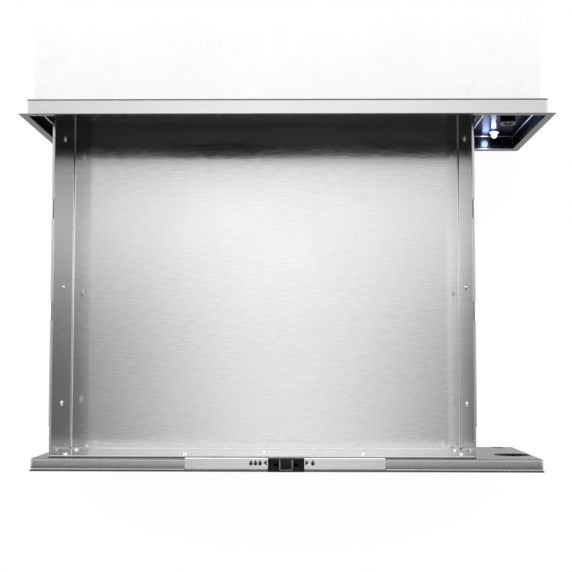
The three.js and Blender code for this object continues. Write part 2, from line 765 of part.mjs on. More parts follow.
const holderBore = rod("y", [bodyY - 1, wallFront + 6.3], [lampX, lampZ], 10);
add("lamp_holder", cut(holder, holderBore), blackPlastic);

// ---------------------------------------------------------------- heating

// Element: one bent tube that crosses the cavity floor in loops and leaves through the rear wall.
const [sideMargin, mouthMargin, rearMargin] = ELEMENT_MARGIN;
const elementSpan = {
  left: linerLeft + sideMargin,
  right: linerRight - sideMargin,
  front: 2 * mouthMargin,
  rear: linerRear - rearMargin,
};
// The outer lanes join across the front; the inner ones turn back short of that run.
const turnY = (i) => elementSpan.front + (i === 0 ? 0 : ELEMENT_PITCH);
const elementCorners = [[elementEnds[0], linerRear + 9], [elementEnds[0], elementSpan.rear]];
const lane = (i) =>
  elementSpan.left + ((elementEnds[0] - ELEMENT_PITCH - elementSpan.left) * i) / (ELEMENT_LOOPS - 1);
for (let i = ELEMENT_LOOPS - 1; i >= 0; i--) {
  const odd = (ELEMENT_LOOPS - 1 - i) % 2;
  const [a, b] = odd ? [turnY(i), elementSpan.rear] : [elementSpan.rear, turnY(i)];
  elementCorners.push([lane(i), a], [lane(i), b]);
}
const laneR = (i) =>
  elementSpan.right + ((elementEnds[1] + ELEMENT_PITCH - elementSpan.right) * i) / (ELEMENT_LOOPS - 1);
for (let i = 0; i < ELEMENT_LOOPS; i++) {
  const [a, b] = i % 2 ? [elementSpan.rear, turnY(i)] : [turnY(i), elementSpan.rear];
  elementCorners.push([laneR(i), a], [laneR(i), b]);
}
elementCorners.push([elementEnds[1], elementSpan.rear], [elementEnds[1], linerRear + 9]);
add("heating_element", bentBar(elementCorners, elementZ, ELEMENT_BEND, ELEMENT_D), heaterSheath);

// Two saddles hold the element's outer lanes off the floor.
function saddle(x) {
  const y = (elementSpan.front + elementSpan.rear) / 2;
  const strip = foldedSheet(
    [
      [y - 16, linerFloor + SEAT + 0.5],
      [y, linerFloor + SEAT + 0.5],
      [y, elementZ + 8],
    ],
    SHEET,
  );
  const plate = extrudeX(strip, x - 12, x + 12);
  return cut(plate, rod("y", [y - 5, y + 5], [x, elementZ], ELEMENT_D + 2 * SEAT));
}
add("element_saddle_left", saddle(lane(0)), zinc);
add("element_saddle_right", saddle(laneR(0)), zinc);

// Thermostat bulb along the rear wall, under the pan, with its capillary into the rear pad.
const bulbY = linerRear - 9;
const bulb = rod("x", [bulbX + 5 - BULB_L, bulbX + 5], [bulbY, bulbZ], BULB_D, 14);
const capillary = rod("y", [bulbY, linerRear + 8], [bulbX, bulbZ], 2.6, 10);
const clipX = bulbX - BULB_L * 0.7;
const clip = block([clipX, clipX + 6], [bulbY, linerRear - SEAT], [bulbZ - 2, bulbZ + 2]);
add("sensor_bulb", join(bulb, capillary, clip), zinc);

// ---------------------------------------------------------------- supply

const boxBack = housingRear + SEAT;
const boxW = 34;
const boxH = 42;
const boxD = 34;
const supplyShell = cut(
  block([entryX - boxW, entryX + boxW], [boxBack, boxBack + boxD], [entryZ - boxH, entryZ + boxH]),
  block(
    [entryX - boxW + SHEET, entryX + boxW - SHEET],
    [boxBack - 1, boxBack + boxD - SHEET],
    [entryZ - boxH + SHEET, entryZ + boxH - SHEET],
  ),
  rod("x", [entryX - boxW - 5, entryX - boxW + 5], [boxBack + boxD / 2, entryZ], 20.6),
);
add("supply_box", supplyShell, zinc);
const terminals = [-18, 0, 18].map((dx) =>
  rod("y", [boxBack + 14, boxBack + 20], [entryX + dx, entryZ + 24], 7, 10),
);
const terminalBody = block(
  [entryX - 28, entryX + 28],
  [boxBack, boxBack + 15],
  [entryZ + 14, entryZ + 34],
);
add("terminal_block", join(terminalBody, ...terminals), ceramic);
const glandX = entryX - boxW;
const gland = join(
  rod("x", [glandX - 3 - SEAT, glandX - SEAT], [boxBack + boxD / 2, entryZ], 28, 6),
  rod("x", [glandX - 16, glandX - 2], [boxBack + boxD / 2, entryZ], 22, 20),
  rod("x", [glandX - 4, glandX + 8], [boxBack + boxD / 2, entryZ], 20, 20),
);
const glandBore = rod("x", [glandX - 20, glandX + 12], [boxBack + boxD / 2, entryZ], 12, 16);
add("cable_gland", cut(gland, glandBore), blackPlastic);

// Sleeved loom from the supply box along the duct to the thermostat.
const loom = bentPath(
  [
    [knobX, bodyY + THERMOSTAT_L + SEAT, knobZ + 4],
    [knobX, bodyY + THERMOSTAT_L + LOOM_REACH[0], knobZ + 4],
    [entryX, bodyY + THERMOSTAT_L + LOOM_REACH[1], entryZ],
    [entryX, housingRear + 12, entryZ],
  ],
  24,
);
add("wiring_loom", tube(loom, 9, 36, 4), wireSleeve);

// ---------------------------------------------------------------- slides

const slideY = [SLIDE_SETBACK, SLIDE_SETBACK + slideLength];
// Each section is drawn from the liner (u = 0) to the pan (u = SLIDE_T), centred in height.
const channel = (web, reach, half) =>
  foldedSheet(
    [
      [reach, half],
      [web, half],
      [web, -half],
      [reach, -half],
    ],
    SLIDE_SHEET,
    0.8,
    2,
  );
const halfSheet = SLIDE_SHEET / 2;
const outerHalf = SLIDE_H / 2 - halfSheet;
const raceGap = BALL_D + 2 * SEAT;
const middleHalf = outerHalf - SLIDE_SHEET - raceGap;
const innerHalf = middleHalf - SLIDE_SHEET - raceGap;
const middleWeb = 4.2;
const sections = {
  outer: channel(halfSheet, 9.2, outerHalf),
  middle: channel(middleWeb, 10.4, middleHalf),
  inner: channel(SLIDE_T - halfSheet, 6.6, innerHalf),
};
const leftBase = linerLeft + SEAT;
const rightBase = linerRight - SEAT;
const place = (solid, isLeft) =>
  isLeft
    ? solid.translate([leftBase, 0, slideZ])
    : mirrorX(solid).translate([rightBase, 0, slideZ]);

// Ball cage: a channel of thin sheet that lies between two members, with a row of balls in each race.
function ballCage(web, reach, half, y0, y1) {
  const sheet = foldedSheet(
    [
      [reach, half],
      [web, half],
      [web, -half],
      [reach, -half],
    ],
    0.8,
    0.4,
    1,
  );
  const spacing = (y1 - y0 - 16) / (BALLS_PER_ROW - 1);
  const balls = [];
  for (let i = 0; i < BALLS_PER_ROW; i++)
    for (const edge of [-half, half]) {
      const ball = new THREE.SphereGeometry(BALL_D / 2, 8, 6);
      balls.push(toSolid(ball.translate(reach - BALL_D / 2, y0 + 8 + i * spacing, edge)));
    }
  return join(extrudeY(sheet, y0, y1), ...balls);
}

const openMiddle = slideY.map((y) => y - travel / 2);
const openInner = slideY.map((y) => y - travel);
const rivetY = RIVETS.map((share) => panFrontIn + share * PAN_LENGTH);
for (const [tag, isLeft] of [
  ["left", true],
  ["right", false],
]) {
  add(`slide_cabinet_${tag}`, place(extrudeY(sections.outer, ...slideY), isLeft), zinc);
  add(`slide_middle_${tag}`, place(extrudeY(sections.middle, ...openMiddle), isLeft), zinc);

  const wallIn = SLIDE_T + SEAT + SHEET; // inside face of the pan wall, in slide coordinates
  const rivets = rivetY.flatMap((y) => [
    rod("x", [SLIDE_T - SLIDE_SHEET, wallIn + 0.8], [y, 0], RIVET_D, 12),
    rod("x", [wallIn + SEAT, wallIn + SEAT + 1.3], [y, 0], RIVET_HEAD_D, 16),
  ]);
  const inner = join(extrudeY(sections.inner, ...openInner), ...rivets);
  add(`slide_drawer_${tag}`, place(inner, isLeft), zinc);

  const cageY = (y) => [y + 4, y + 4 + CAGE_LENGTH];
  const outerRace = (outerHalf + middleHalf) / 2;
  const innerRace = (middleHalf + innerHalf) / 2;
  const outerCage = ballCage(2.4, 8.6, outerRace, ...cageY(slideY[0]));
  const innerCage = ballCage(5.5, 10.2, innerRace, ...cageY(openMiddle[0]));
  add(`ball_cage_outer_${tag}`, place(outerCage, isLeft), chrome);
  add(`ball_cage_inner_${tag}`, place(innerCage, isLeft), chrome);
}

// ---------------------------------------------------------------- pan

// Floor, front wall and rear wall are one sheet; the side walls are welded on along its edges.
const halfWall = SHEET / 2;
const panShape = foldedSheet(
  [
    [panFrontIn - halfWall, rimZ],
    [panFrontIn - halfWall, floorZ - halfWall],
    [panRearIn + halfWall, floorZ - halfWall],
    [panRearIn + halfWall, rimZ - halfWall],
    [panRearOut + RIM_FLANGE, rimZ - halfWall],
  ],
  SHEET,
  PAN_BEND,
);
const panShell = extrudeX(panShape, panLeft + SEAT, panRight - SEAT);
const flangeCut = (edge, y0, y1) => {
  const inner = (edge < 0 ? panLeft : panRight) + edge * SHEET;
  const outer = inner + edge * (RIM_FLANGE + SHEET);
  return block([Math.min(inner, outer), Math.max(inner, outer)], [y0, y1], [rimZ - 3 * SHEET, rimZ + SHEET]);
};
for (const [tag, edge, inside] of [
  ["left", -1, panLeft],
  ["right", 1, panRight],
]) {
  const wallX = inside + edge * halfWall;
  const wallShape = foldedSheet(
    [
      [wallX, floorZ - SHEET],
      [wallX, rimZ - halfWall],
      [inside + edge * (SHEET + RIM_FLANGE), rimZ - halfWall],
    ],
    SHEET,
    SHEET / 2,
    2,
  );
  const wall = extrudeY(wallShape, panFrontOut, panRearOut);
  const notches = RIM_NOTCHES.map((y) => flangeCut(edge, panFrontIn + y, panFrontIn + y + RIM_NOTCH));
  const bareFront = flangeCut(edge, panFrontOut - SHEET, panFrontIn + RIM_END);
  const rivetHoles = rivetY.map((y) =>
    rod("x", [wallX - 4 * SHEET, wallX + 4 * SHEET], [y, slideZ], RIVET_D + 2 * SEAT, 12),
  );
  add(`pan_side_${tag}`, cut(wall, bareFront, ...notches, ...rivetHoles), stainless);
}
const screwHoles = panScrews.map((at) =>
  rod("y", [panelBack - 9, panFrontIn + 4], at, SCREW_D + 2 * SEAT, 12),
);
add("pan", cut(panShell, ...screwHoles), stainless);

// ---------------------------------------------------------------- drawer front

const panelShell = facingFront(
  tray(
    [-halfPanel + SHEET, halfPanel - SHEET],
    [panelBottom + SHEET, panelTop - SHEET],
    PANEL_BOX - SEAT - SHEET,
    { fold: 2 },
  ),
  skinBack + SEAT,
);
const ventWindows = VENT_GROUPS.flatMap((first) =>
  Array.from({ length: VENT_SLOTS }, (_, i) => first + i * VENT_PITCH),
);
const grilleBottom = rimZ + 2;
const grilleTop = linerTop - 0.4;
const ventZ = [grilleBottom + 2.5, grilleBottom + 2.5 + VENT_SLOT_H];
const ventCut = (x, y0, y1) => block([x - VENT_SLOT_W / 2, x + VENT_SLOT_W / 2], [y0, y1], ventZ);
const ventCuts = ventWindows.map((x) => ventCut(x, panelBack - 2, panelBack + 2));

const stripFront = skinBack + OUTLET_SLOT;
const outletCut = block([STRIP_LEFT, STRIP_RIGHT], [skinBack - 1, stripFront], [panelTop - 2, panelTop + 2]);
// The slider's trough hangs through the strip and the top of the box.
const troughX = [-BEZEL_W / 2 + 1, BEZEL_W / 2 - 1];
const troughY = [skinBack + SEAT, panelBack - 2.2];
const troughCut = block(grown(troughX, SEAT), [skinBack - 1, troughY[1] + SEAT], [panelTop - 4, panelTop + 4]);
// A separate plate closes the back over the controls, with a hole for the knob and one for the lamp.
const plateX = [knobX - KNOB_HOLE_D / 2 - PLATE_EDGE, knobX + KNOB_HOLE_D / 2 + PLATE_LIGAMENT];
const plateZ = [panelBottom + PLATE_EDGE, panelTop - PLATE_EDGE];
const plateBay = block(grown(plateX, SEAT), [panelBack - 2 * SHEET, panelBack + SHEET], grown(plateZ, SEAT));
add(
  "control_plate",
  cut(
    block(plateX, [panelBack - SHEET, panelBack], plateZ),
    rod("y", [panelBack - 4, panelBack + 2], [knobX, knobZ], KNOB_HOLE_D, 40),
    rod("y", [panelBack - 4, panelBack + 2], [lampX, lampZ], LAMP_HOLE_D, 24),
  ),
  stainless,
);
add(
  "panel_box",
  cut(
    panelShell,
    plateBay,
    outletCut,
    troughCut,
    ...ventCuts,
    ...screwHoles,
  ),
  stainless,
);

// Front plate with six holes for the screws of a kitchen front.
const plate = new THREE.Shape(
  flatRing([-halfPanel - SKIN_OVERHANG, halfPanel + SKIN_OVERHANG], [skinBottom, panelTop], 2),
);
const frontHoles = [-halfPanel + FRONT_HOLE_INSET, 0, halfPanel - FRONT_HOLE_INSET - 10].flatMap((x) =>
  [skinBottom + FRONT_HOLE_INSET / 2, panelTop - FRONT_HOLE_INSET * 0.75].map((z) =>
    rod("y", [skinFront - 2, skinBack + 2], [x, z], FRONT_HOLE_D, 16),
  ),
);
const windowHole = rod("y", [skinFront - 2, skinBack + 2], [lampX, lampZ], 6.6, 16);
add("front_plate", cut(extrudeY(plate, skinFront, skinBack), ...frontHoles, windowHole), stainless);

// Small window that carries the lamp's light through the shut front.
add(
  "lamp_window",
  turned([[0, 0], [5, 0], [5, 1.2], [3, 1.2], [3, 1.2 + SKIN], [0, 1.2 + SKIN]], lampX, lampZ, skinBack + 1.2 + SEAT, 16),
  lampLens,
);

// Stiffener behind the knob opening: a shallow folded strip on the front plate.
const stiffY = skinBack + SEAT;
const stiffener = foldedSheet(
  [
    [knobX - STIFFENER_W * 0.74, stiffY + SHEET / 2],
    [knobX + STIFFENER_W * 0.26, stiffY + SHEET / 2],
    [knobX + STIFFENER_W * 0.26, stiffY + SHEET / 2 + STIFFENER_LIP],
  ],
  SHEET,
  0.3,
);
const stiffBar = new THREE.ExtrudeGeometry(stiffener, {
  depth: panelTop - panelBottom - STIFFENER_ENDS[0] - STIFFENER_ENDS[1],
  bevelEnabled: false,
});
add("panel_stiffener", toSolid(stiffBar.translate(0, 0, panelBottom + STIFFENER_ENDS[0])), zinc);

// Insulation board inside the drawer front, short of the control openings and the vent chamber.
const boardHoles = panScrews.map((at) =>
  rod("y", [skinBack, panelBack], at, SCREW_D + 10, 12),
);
const board = block(
  [-halfPanel + BOARD_EDGE, knobX - KNOB_HOLE_D / 2 - 1.5 * BOARD_EDGE],
  [skinBack + SEAT, panelBack - SHEET - SEAT],
  [panelBottom + BOARD_EDGE, rimZ - 1.5 * BOARD_EDGE],
);
add("panel_insulation", cut(board, ...boardHoles), glassFibre);

// Vent grille over the slots, as wide as the pan, and the strip that carries the legend.
const grille = block(
  [panLeft - SHEET, panRight + SHEET],
  [panelBack + SEAT, panelBack + SEAT + STRIP_SHEET],
  [grilleBottom, grilleTop],
);
add("vent_grille", cut(grille, ...ventWindows.map((x) => ventCut(x, panelBack, panelBack + 3))), stainless);

const stripShape = foldedSheet(
  [
    [stripFront, panelTop + SEAT + STRIP_SHEET / 2],
    [panelBack + SEAT + STRIP_SHEET / 2, panelTop + SEAT + STRIP_SHEET / 2],
    [panelBack + SEAT + STRIP_SHEET / 2, panelTop - STRIP_LIP],
  ],
  STRIP_SHEET,
  0.6,
);
const strip = extrudeX(stripShape, STRIP_LEFT, STRIP_RIGHT);
add("legend_strip", cut(strip, troughCut), stainless);

// Slider bezel: a thin rim over the strip round a trough with a slotted floor.
const stripTop = panelTop + SEAT + STRIP_SHEET;
const bezelTop = stripTop + SEAT + 1;
const troughFloor = panelTop - 0.6;
const slotY = [panelBack - 11, panelBack - 7];
const slotReach = SLIDER_TRAVEL + STEM_W / 2 + 0.5;
const bezelPlate = block(
  [-BEZEL_W / 2, BEZEL_W / 2],
  [skinFront, panelBack + SEAT + STRIP_SHEET],
  [stripTop + SEAT, bezelTop],
);
const trough = block(troughX, troughY, [troughFloor - 1, bezelTop]);
const troughSpace = block(grown(troughX, -1), grown(troughY, -1), [troughFloor, bezelTop + 1]);
const bezelSlot = block([-slotReach, slotReach], slotY, [troughFloor - 3, bezelTop]);
add("slider_bezel", cut(join(bezelPlate, trough), troughSpace, bezelSlot), blackPlastic);

// Slider: a cap that fills the trough's width, and a stem through the slot to the shutter.
const capTop = bezelTop + 0.6;
const capY = grown(troughY, -1 - SEAT);
const sliderCap = block([-SLIDER_W / 2, SLIDER_W / 2], capY, [troughFloor + SEAT, capTop]);
const thumbDish = block([-SLIDER_W / 2 + 4, SLIDER_W / 2 - 4], grown(capY, -2), [capTop - 1, capTop + 1]);
const stemHalf = STEM_W / 2;
const stemY = grown(slotY, -SEAT - 0.2);
const stem = block([-stemHalf, stemHalf], stemY, [grilleTop - 2, troughFloor + 1]);
add("slider_knob", join(cut(sliderCap, thumbDish), stem), blackPlastic);

// Shutter behind the slots: one window to a group. At +X the windows meet the slots, at -X they miss.
const shutterY = [panelBack - SHEET - SEAT - STRIP_SHEET, panelBack - SHEET - SEAT];
const groupW = (VENT_SLOTS - 1) * VENT_PITCH + VENT_SLOT_W;
const windowLeft = VENT_GROUPS.map((first) => first - VENT_SLOT_W / 2 - SLIDER_TRAVEL);
const SHUTTER_END = 8;
const FORK_W = 18;
const shutterSpan = [Math.min(...windowLeft) - SHUTTER_END, Math.max(...windowLeft) + 2 * groupW + SHUTTER_END / 2];
const shutter = block(shutterSpan, shutterY, [grilleBottom, panelTop - SHEET - STRIP_LIP]);
const shutterWindows = windowLeft.map((x) => block([x, x + groupW], grown(shutterY, 2), ventZ));
const fork = cut(
  block([-FORK_W / 2, FORK_W / 2], [stemY[0] - 2, shutterY[1] - 0.2], [grilleTop - 1, grilleTop + 0.5]),
  block([-stemHalf - SEAT, stemHalf + SEAT], grown(stemY, SEAT), [grilleTop - 4, grilleTop + 4]),
);
add("vent_shutter", join(cut(shutter, ...shutterWindows), fork), zinc);

// Screws through the pan's front wall into the back of the drawer front.
panScrews.forEach(([x, z], i) => {
  const head = turned(
    [
      [0, 0],
      [SCREW_HEAD_D / 2, 0],
      [SCREW_HEAD_D / 2 - 0.4, 1.1],
      [SCREW_HEAD_D / 2 - 1.6, 1.9],
      [0, SCREW_HEAD_T],
    ],
    x,
    z,
    panFrontIn + SEAT,
    16,
  );
  // The turned profile faces the front; the head lies on the rear side of the wall.
  const facingRear = head.mirror([0, 1, 0]).translate([0, 2 * (panFrontIn + SEAT), 0]);
  const shank = rod("y", [panelBack - 6, panFrontIn + SEAT + 0.5], [x, z], SCREW_D, 12);
  add(`pan_screw_${i + 1}`, join(facingRear, shank), zinc);
});

// ---------------------------------------------------------------- rear stops

for (const [tag, x] of [
  ["left", panLeft + STOP_INSET],
  ["right", panRight - STOP_INSET],
]) {
  const stopFront = panRearOut + travel + 0.6;
  const face = turned(
    [
      [0, 0],
      [11, 0],
      [9, linerRear - SEAT - stopFront - 1.5],
      [7, linerRear - SEAT - stopFront],
      [0, linerRear - SEAT - stopFront],
    ],
    x,
    rimZ - STOP_DROP,
    linerRear - SEAT,
    16,
  );
  add(`rear_stop_${tag}`, face, rubber);
}

export default drawer;
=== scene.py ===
import json
import math

import bmesh
import bpy
import numpy as np
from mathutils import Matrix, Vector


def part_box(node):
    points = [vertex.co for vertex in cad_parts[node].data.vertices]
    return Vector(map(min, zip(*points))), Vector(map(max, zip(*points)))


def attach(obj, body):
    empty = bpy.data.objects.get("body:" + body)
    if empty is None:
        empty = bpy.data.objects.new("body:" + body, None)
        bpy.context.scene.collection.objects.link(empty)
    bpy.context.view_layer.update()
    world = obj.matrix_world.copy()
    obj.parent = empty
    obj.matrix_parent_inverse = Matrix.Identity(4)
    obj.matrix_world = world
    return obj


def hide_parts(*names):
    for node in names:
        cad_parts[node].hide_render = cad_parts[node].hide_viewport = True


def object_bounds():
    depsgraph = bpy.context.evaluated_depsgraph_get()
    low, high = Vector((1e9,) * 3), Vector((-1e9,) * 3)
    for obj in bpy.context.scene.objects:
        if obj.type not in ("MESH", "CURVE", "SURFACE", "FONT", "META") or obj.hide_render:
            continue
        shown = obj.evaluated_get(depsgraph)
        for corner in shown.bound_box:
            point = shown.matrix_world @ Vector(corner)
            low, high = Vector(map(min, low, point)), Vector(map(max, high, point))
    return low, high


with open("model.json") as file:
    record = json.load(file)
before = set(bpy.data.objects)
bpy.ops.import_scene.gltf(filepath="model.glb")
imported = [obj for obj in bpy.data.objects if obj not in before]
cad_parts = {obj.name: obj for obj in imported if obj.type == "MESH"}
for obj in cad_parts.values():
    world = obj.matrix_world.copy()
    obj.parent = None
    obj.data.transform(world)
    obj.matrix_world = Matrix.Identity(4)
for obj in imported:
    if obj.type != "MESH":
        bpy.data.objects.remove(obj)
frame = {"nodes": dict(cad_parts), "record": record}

bl_info = {
    "name": "Warming Drawer",
    "version": (1, 0, 0),
    "blender": (4, 5, 0),
    "location": "View3D > Sidebar > Drawer",
    "description": "Dresses a built-in warming drawer and sets its stage",
    "category": "Object",
}

CAD_BOX = [list(corner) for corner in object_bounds()]
NODES = frame["nodes"]
MATERIALS = {}
MM = 0.001
SEAT = 0.3 * MM  # the gap between solids that touch each other
BLACK = (0.0, 0.0, 0.0)


def low(node):
    """The node's lowest corner at rest."""
    return np.array(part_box(node)[0])


def high(node):
    """The node's highest corner at rest."""
    return np.array(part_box(node)[1])


def middle(node):
    """The middle of the node's box at rest."""
    return (low(node) + high(node)) / 2


def radius_of(node):
    """The radius of a round node whose axis lies along Y."""
    return (high(node)[0] - low(node)[0]) / 2


# ---------------------------------------------------------------- settings


def length(name, description, default):
    return bpy.props.FloatProperty(
        name=name, description=description, default=default, unit="LENGTH", subtype="DISTANCE", precision=5
    )


def colour(name, description, default):
    return bpy.props.FloatVectorProperty(
        name=name, description=description, default=default, subtype="COLOR", min=0.0, max=1.0
    )


def share(name, description, default):
    return bpy.props.FloatProperty(
        name=name, description=description, default=default, subtype="FACTOR", min=0.0, max=1.0
    )


def light(name, description, default):
    return bpy.props.FloatProperty(name=name, description=description, default=default, min=0.0)


class DrawerSizes(bpy.types.PropertyGroup):
    """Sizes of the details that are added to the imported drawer."""

    sheet: length("Sheet", "Thickness of the pan's sheet", 0.001)
    fold: length("Fold", "Inside radius of the pan's folds", 0.0019)
    edge: length("Edge", "Rounding of sheet edges", 0.00028)
    rivet: length("Rivet head", "Diameter of the slide rivets' heads, without their skirt", 0.008)
    recess: length("Recess", "Width across the screws' cross recess", 0.0046)
    ribs: bpy.props.IntProperty(name="Knob ribs", description="Grip ribs round the knob", default=30)
    mark: length("Mark height", "Height of the marks beside the slider", 0.0078)
    bend: length("Rim bend", "Radius of the bend from the pan's wall to its rim", 0.0012)
    hem: length("Rim hem", "Radius of the rolled rim", 0.0019)
    bead: length("Bead", "Radius of the bright beads along folded edges", 0.0009)


class DrawerFinish(bpy.types.PropertyGroup):
    """Colours and gloss of the drawer's materials."""

    steel: colour("Steel", "Brushed stainless sheet", (0.74, 0.74, 0.745))
    steel_gloss: share("Steel roughness", "Roughness of the brushed sheet", 0.25)
    bright: colour("Bright steel", "Strip that carries the legend", (0.88, 0.88, 0.885))
    # The recess colour is painted shade with a painted blue glow of the lamp.
    recess: colour("Recess", "Polished steel inside the frame", (0.058, 0.062, 0.085))
    zinc: colour("Zinc", "Zinc-coated sheet of the housing", (0.95, 0.955, 0.96))
    plastic: colour("Black plastic", "Knob, slider and gland", (0.01, 0.01, 0.011))
    lamp: colour("Lamp", "Light of the pilot lamp", (0.5, 0.65, 1.0))
    wool: colour("Wool", "Glass-fibre insulation", (0.72, 0.66, 0.36))


class DrawerStudio(bpy.types.PropertyGroup):
    """Light and floor of the stage."""

    gap: length("Floor gap", "Room between the trim's underside and the floor", 0.0004)
    overhead: light("Overhead", "Strength of the soft light above", 1.0)
    ceiling: light("Ceiling", "Strength of the light round it", 0.05)
    lens: bpy.props.FloatProperty(
        name="Lens", description="Focal length", default=71.06, unit="CAMERA", subtype="DISTANCE_CAMERA"
    )


# ---------------------------------------------------------------- surfaces


def around(count):
    """Angles that divide a full turn evenly."""
    return np.arange(count) / count * 2 * math.pi


def steps_from(start, steps):
    """Points that lie the given millimetres away from a start point."""
    return np.array(start) + np.array(steps) * MM


def points_at(*columns):
    """Points from their coordinates, which are arrays of one shape."""
    return np.stack(columns, axis=-1)


def grid_faces(rows, columns, wrap_rows=False):
    """Quads of a grid: point (i, j) has the number i * columns + j. Each row closes on itself; columns may."""
    i = np.arange(rows if wrap_rows else rows - 1)[:, None]
    j = np.arange(columns)[None, :]
    next_i, next_j = (i + 1) % rows, (j + 1) % columns
    corners = [i * columns + j, i * columns + next_j, next_i * columns + next_j, next_i * columns + j]
    return np.stack(corners, axis=-1).reshape(-1, 4).tolist()


def capped(rings, both=True):
    """A shell through equal rings of points, with a flat cap on the first ring and, if both, on the last."""
    rings = np.asarray(rings)
    rows, columns = rings.shape[:2]
    faces = grid_faces(rows, columns)
    faces.append(list(range(columns))[::-1])
    if both:
        faces.append([(rows - 1) * columns + k for k in range(columns)])
    return rings.reshape(-1, 3), faces


def turned(profile, centre, segments, ripple=None, ring=False):
    """A profile turned about an axis along Y: point (r, y) goes to (x0 + r cos a, y0 + y, z0 + r sin a).
    ripple(a, r, y) may change the radius. A ring's profile closes on itself, and any other gets two caps."""
    r, y = np.array(profile, float).T
    a = around(segments)
    radius, level = np.repeat(r[:, None], segments, 1), np.repeat(y[:, None], segments, 1)
    if ripple is not None:
        radius = radius + ripple(a[None, :], radius, y[:, None])
    x0, y0, z0 = centre
    rings = points_at(x0 + radius * np.cos(a), y0 + level, z0 + radius * np.sin(a))
    return (rings.reshape(-1, 3), grid_faces(len(r), segments, wrap_rows=True)) if ring else capped(rings)


def rounded_line(corners, radius, steps, hold=0.0):
    """A polyline whose corners are replaced by arcs: at each corner the arc of its radius touches both runs.
    A point at the distance hold before and after each arc keeps the shading of the flat runs flat."""
    corners = np.array(corners, float)
    line = [corners[0]]
    for k, bend in enumerate(np.broadcast_to(radius, len(corners) - 2), 1):
        into, out = corners[k] - corners[k - 1], corners[k + 1] - corners[k]
        into, out = into / np.linalg.norm(into), out / np.linalg.norm(out)
        turn = math.atan2(into[0] * out[1] - into[1] * out[0], into @ out)
        normal = np.array([-into[1], into[0]]) * math.copysign(1, turn)
        start = corners[k] - into * bend * math.tan(abs(turn) / 2)
        a, (u, v) = np.linspace(0, turn, steps + 1), -normal
        spun = points_at(u * np.cos(a) - v * np.sin(a), u * np.sin(a) + v * np.cos(a))
        arc = start + normal * bend + spun * bend
        line.extend([arc[0] - into * hold] if hold else [])
        line.extend(arc)
        line.extend([arc[-1] + out * hold] if hold else [])
    line.append(corners[-1])
    return np.array(line)


def sheet_outline(centre_line, thickness, cap_steps=4):
    """The closed outline of a sheet along a centre line: half a thickness to each side, with round ends."""
    line = np.array(centre_line, float)
    along = np.gradient(line, axis=0)
    along /= np.linalg.norm(along, axis=1)[:, None]
    side = points_at(-along[:, 1], along[:, 0]) * thickness / 2
    a = np.linspace(0, math.pi, cap_steps + 2)[1:-1]

    def cap(point, normal, forward):
        return point + normal * np.cos(a)[:, None] + forward * np.sin(a)[:, None] * thickness / 2

    start, end = cap(line[0], -side[0], -along[0]), cap(line[-1], side[-1], along[-1])
    return np.concatenate([line + side, end, (line - side)[::-1], start])


def swept(outline, stations, axis):
    """A closed outline carried straight along an axis: each station gives a ring, and both ends are capped."""
    outline = np.array(outline, float)
    return capped([np.insert(outline, "xyz".index(axis), station, axis=1) for station in stations])


def tube(path, radius, sides):
    """A round tube along a path: each ring lies square to it, turned as little as possible from the last."""
    path = np.array(path, float)
    along = np.gradient(path, axis=0)
    along /= np.linalg.norm(along, axis=1)[:, None]
    up = np.cross(along[0], [0.0, 0.0, 1.0])
    normals = [up / np.linalg.norm(up)]
    for forward in along[1:]:
        normal = normals[-1] - forward * (normals[-1] @ forward)
        normals.append(normal / np.linalg.norm(normal))
    normals = np.array(normals)
    across = np.cross(along, normals)
    a = around(sides)[None, :, None]
    return capped(path[:, None] + radius * (normals[:, None] * np.cos(a) + across[:, None] * np.sin(a)))


def dome(foot, outward, radius, height, rings=5, segments=20, sunk=0.6 * MM):
    """A rivet's head: height h * cos(t) at radius r * sin(t) for t from 90 degrees down to 0, turned about
    its axis. Its foot is sunk into the sheet."""
    t = np.linspace(math.pi / 2, 0, rings)
    r = np.concatenate([[radius], radius * np.sin(t)])
    out = np.concatenate([[-sunk], height * np.cos(t)])
    outward = np.array(outward, float)
    side = np.cross(outward, [0.0, 1.0, 0.0])
    up = np.cross(outward, side)
    a = around(segments)
    ring = np.cos(a)[:, None] * side + np.sin(a)[:, None] * up
    return capped(np.array(foot) + r[:, None, None] * ring[None] + out[:, None, None] * outward, both=False)


def crossed_screw(centre, radius, height, recess, turn, rings=14, segments=40):
    """A pan-head screw facing +Y. On a polar grid the height is a dome less a cross-shaped recess:
    the recess is deep where |x| or |z|, turned with the slot, is under a seventh of its width."""
    r = np.concatenate([[1.0], np.linspace(1.0, 0.02, rings)])[:, None] * radius
    a = around(segments)[None, :]
    x, z = r * np.cos(a), r * np.sin(a)
    flatness, depth, arm = 0.82, 0.55, recess / 7
    up = height * np.sqrt(np.clip(1 - flatness * (r / radius) ** 2, 0, 1)) + 0 * a
    across, along = x * math.cos(turn) + z * math.sin(turn), -x * math.sin(turn) + z * math.cos(turn)

    def inside(u, v):
        fade = np.clip((arm - np.abs(u)) / (0.35 * arm) + 0.5, 0, 1)
        return fade * np.clip((recess / 2 - np.abs(v)) / (0.3 * arm), 0, 1)

    up = up - depth * height * np.maximum(inside(across, along), inside(along, across))
    up[0] = -0.2 * MM
    return capped(points_at(centre[0] + x, centre[1] + up, centre[2] + z))


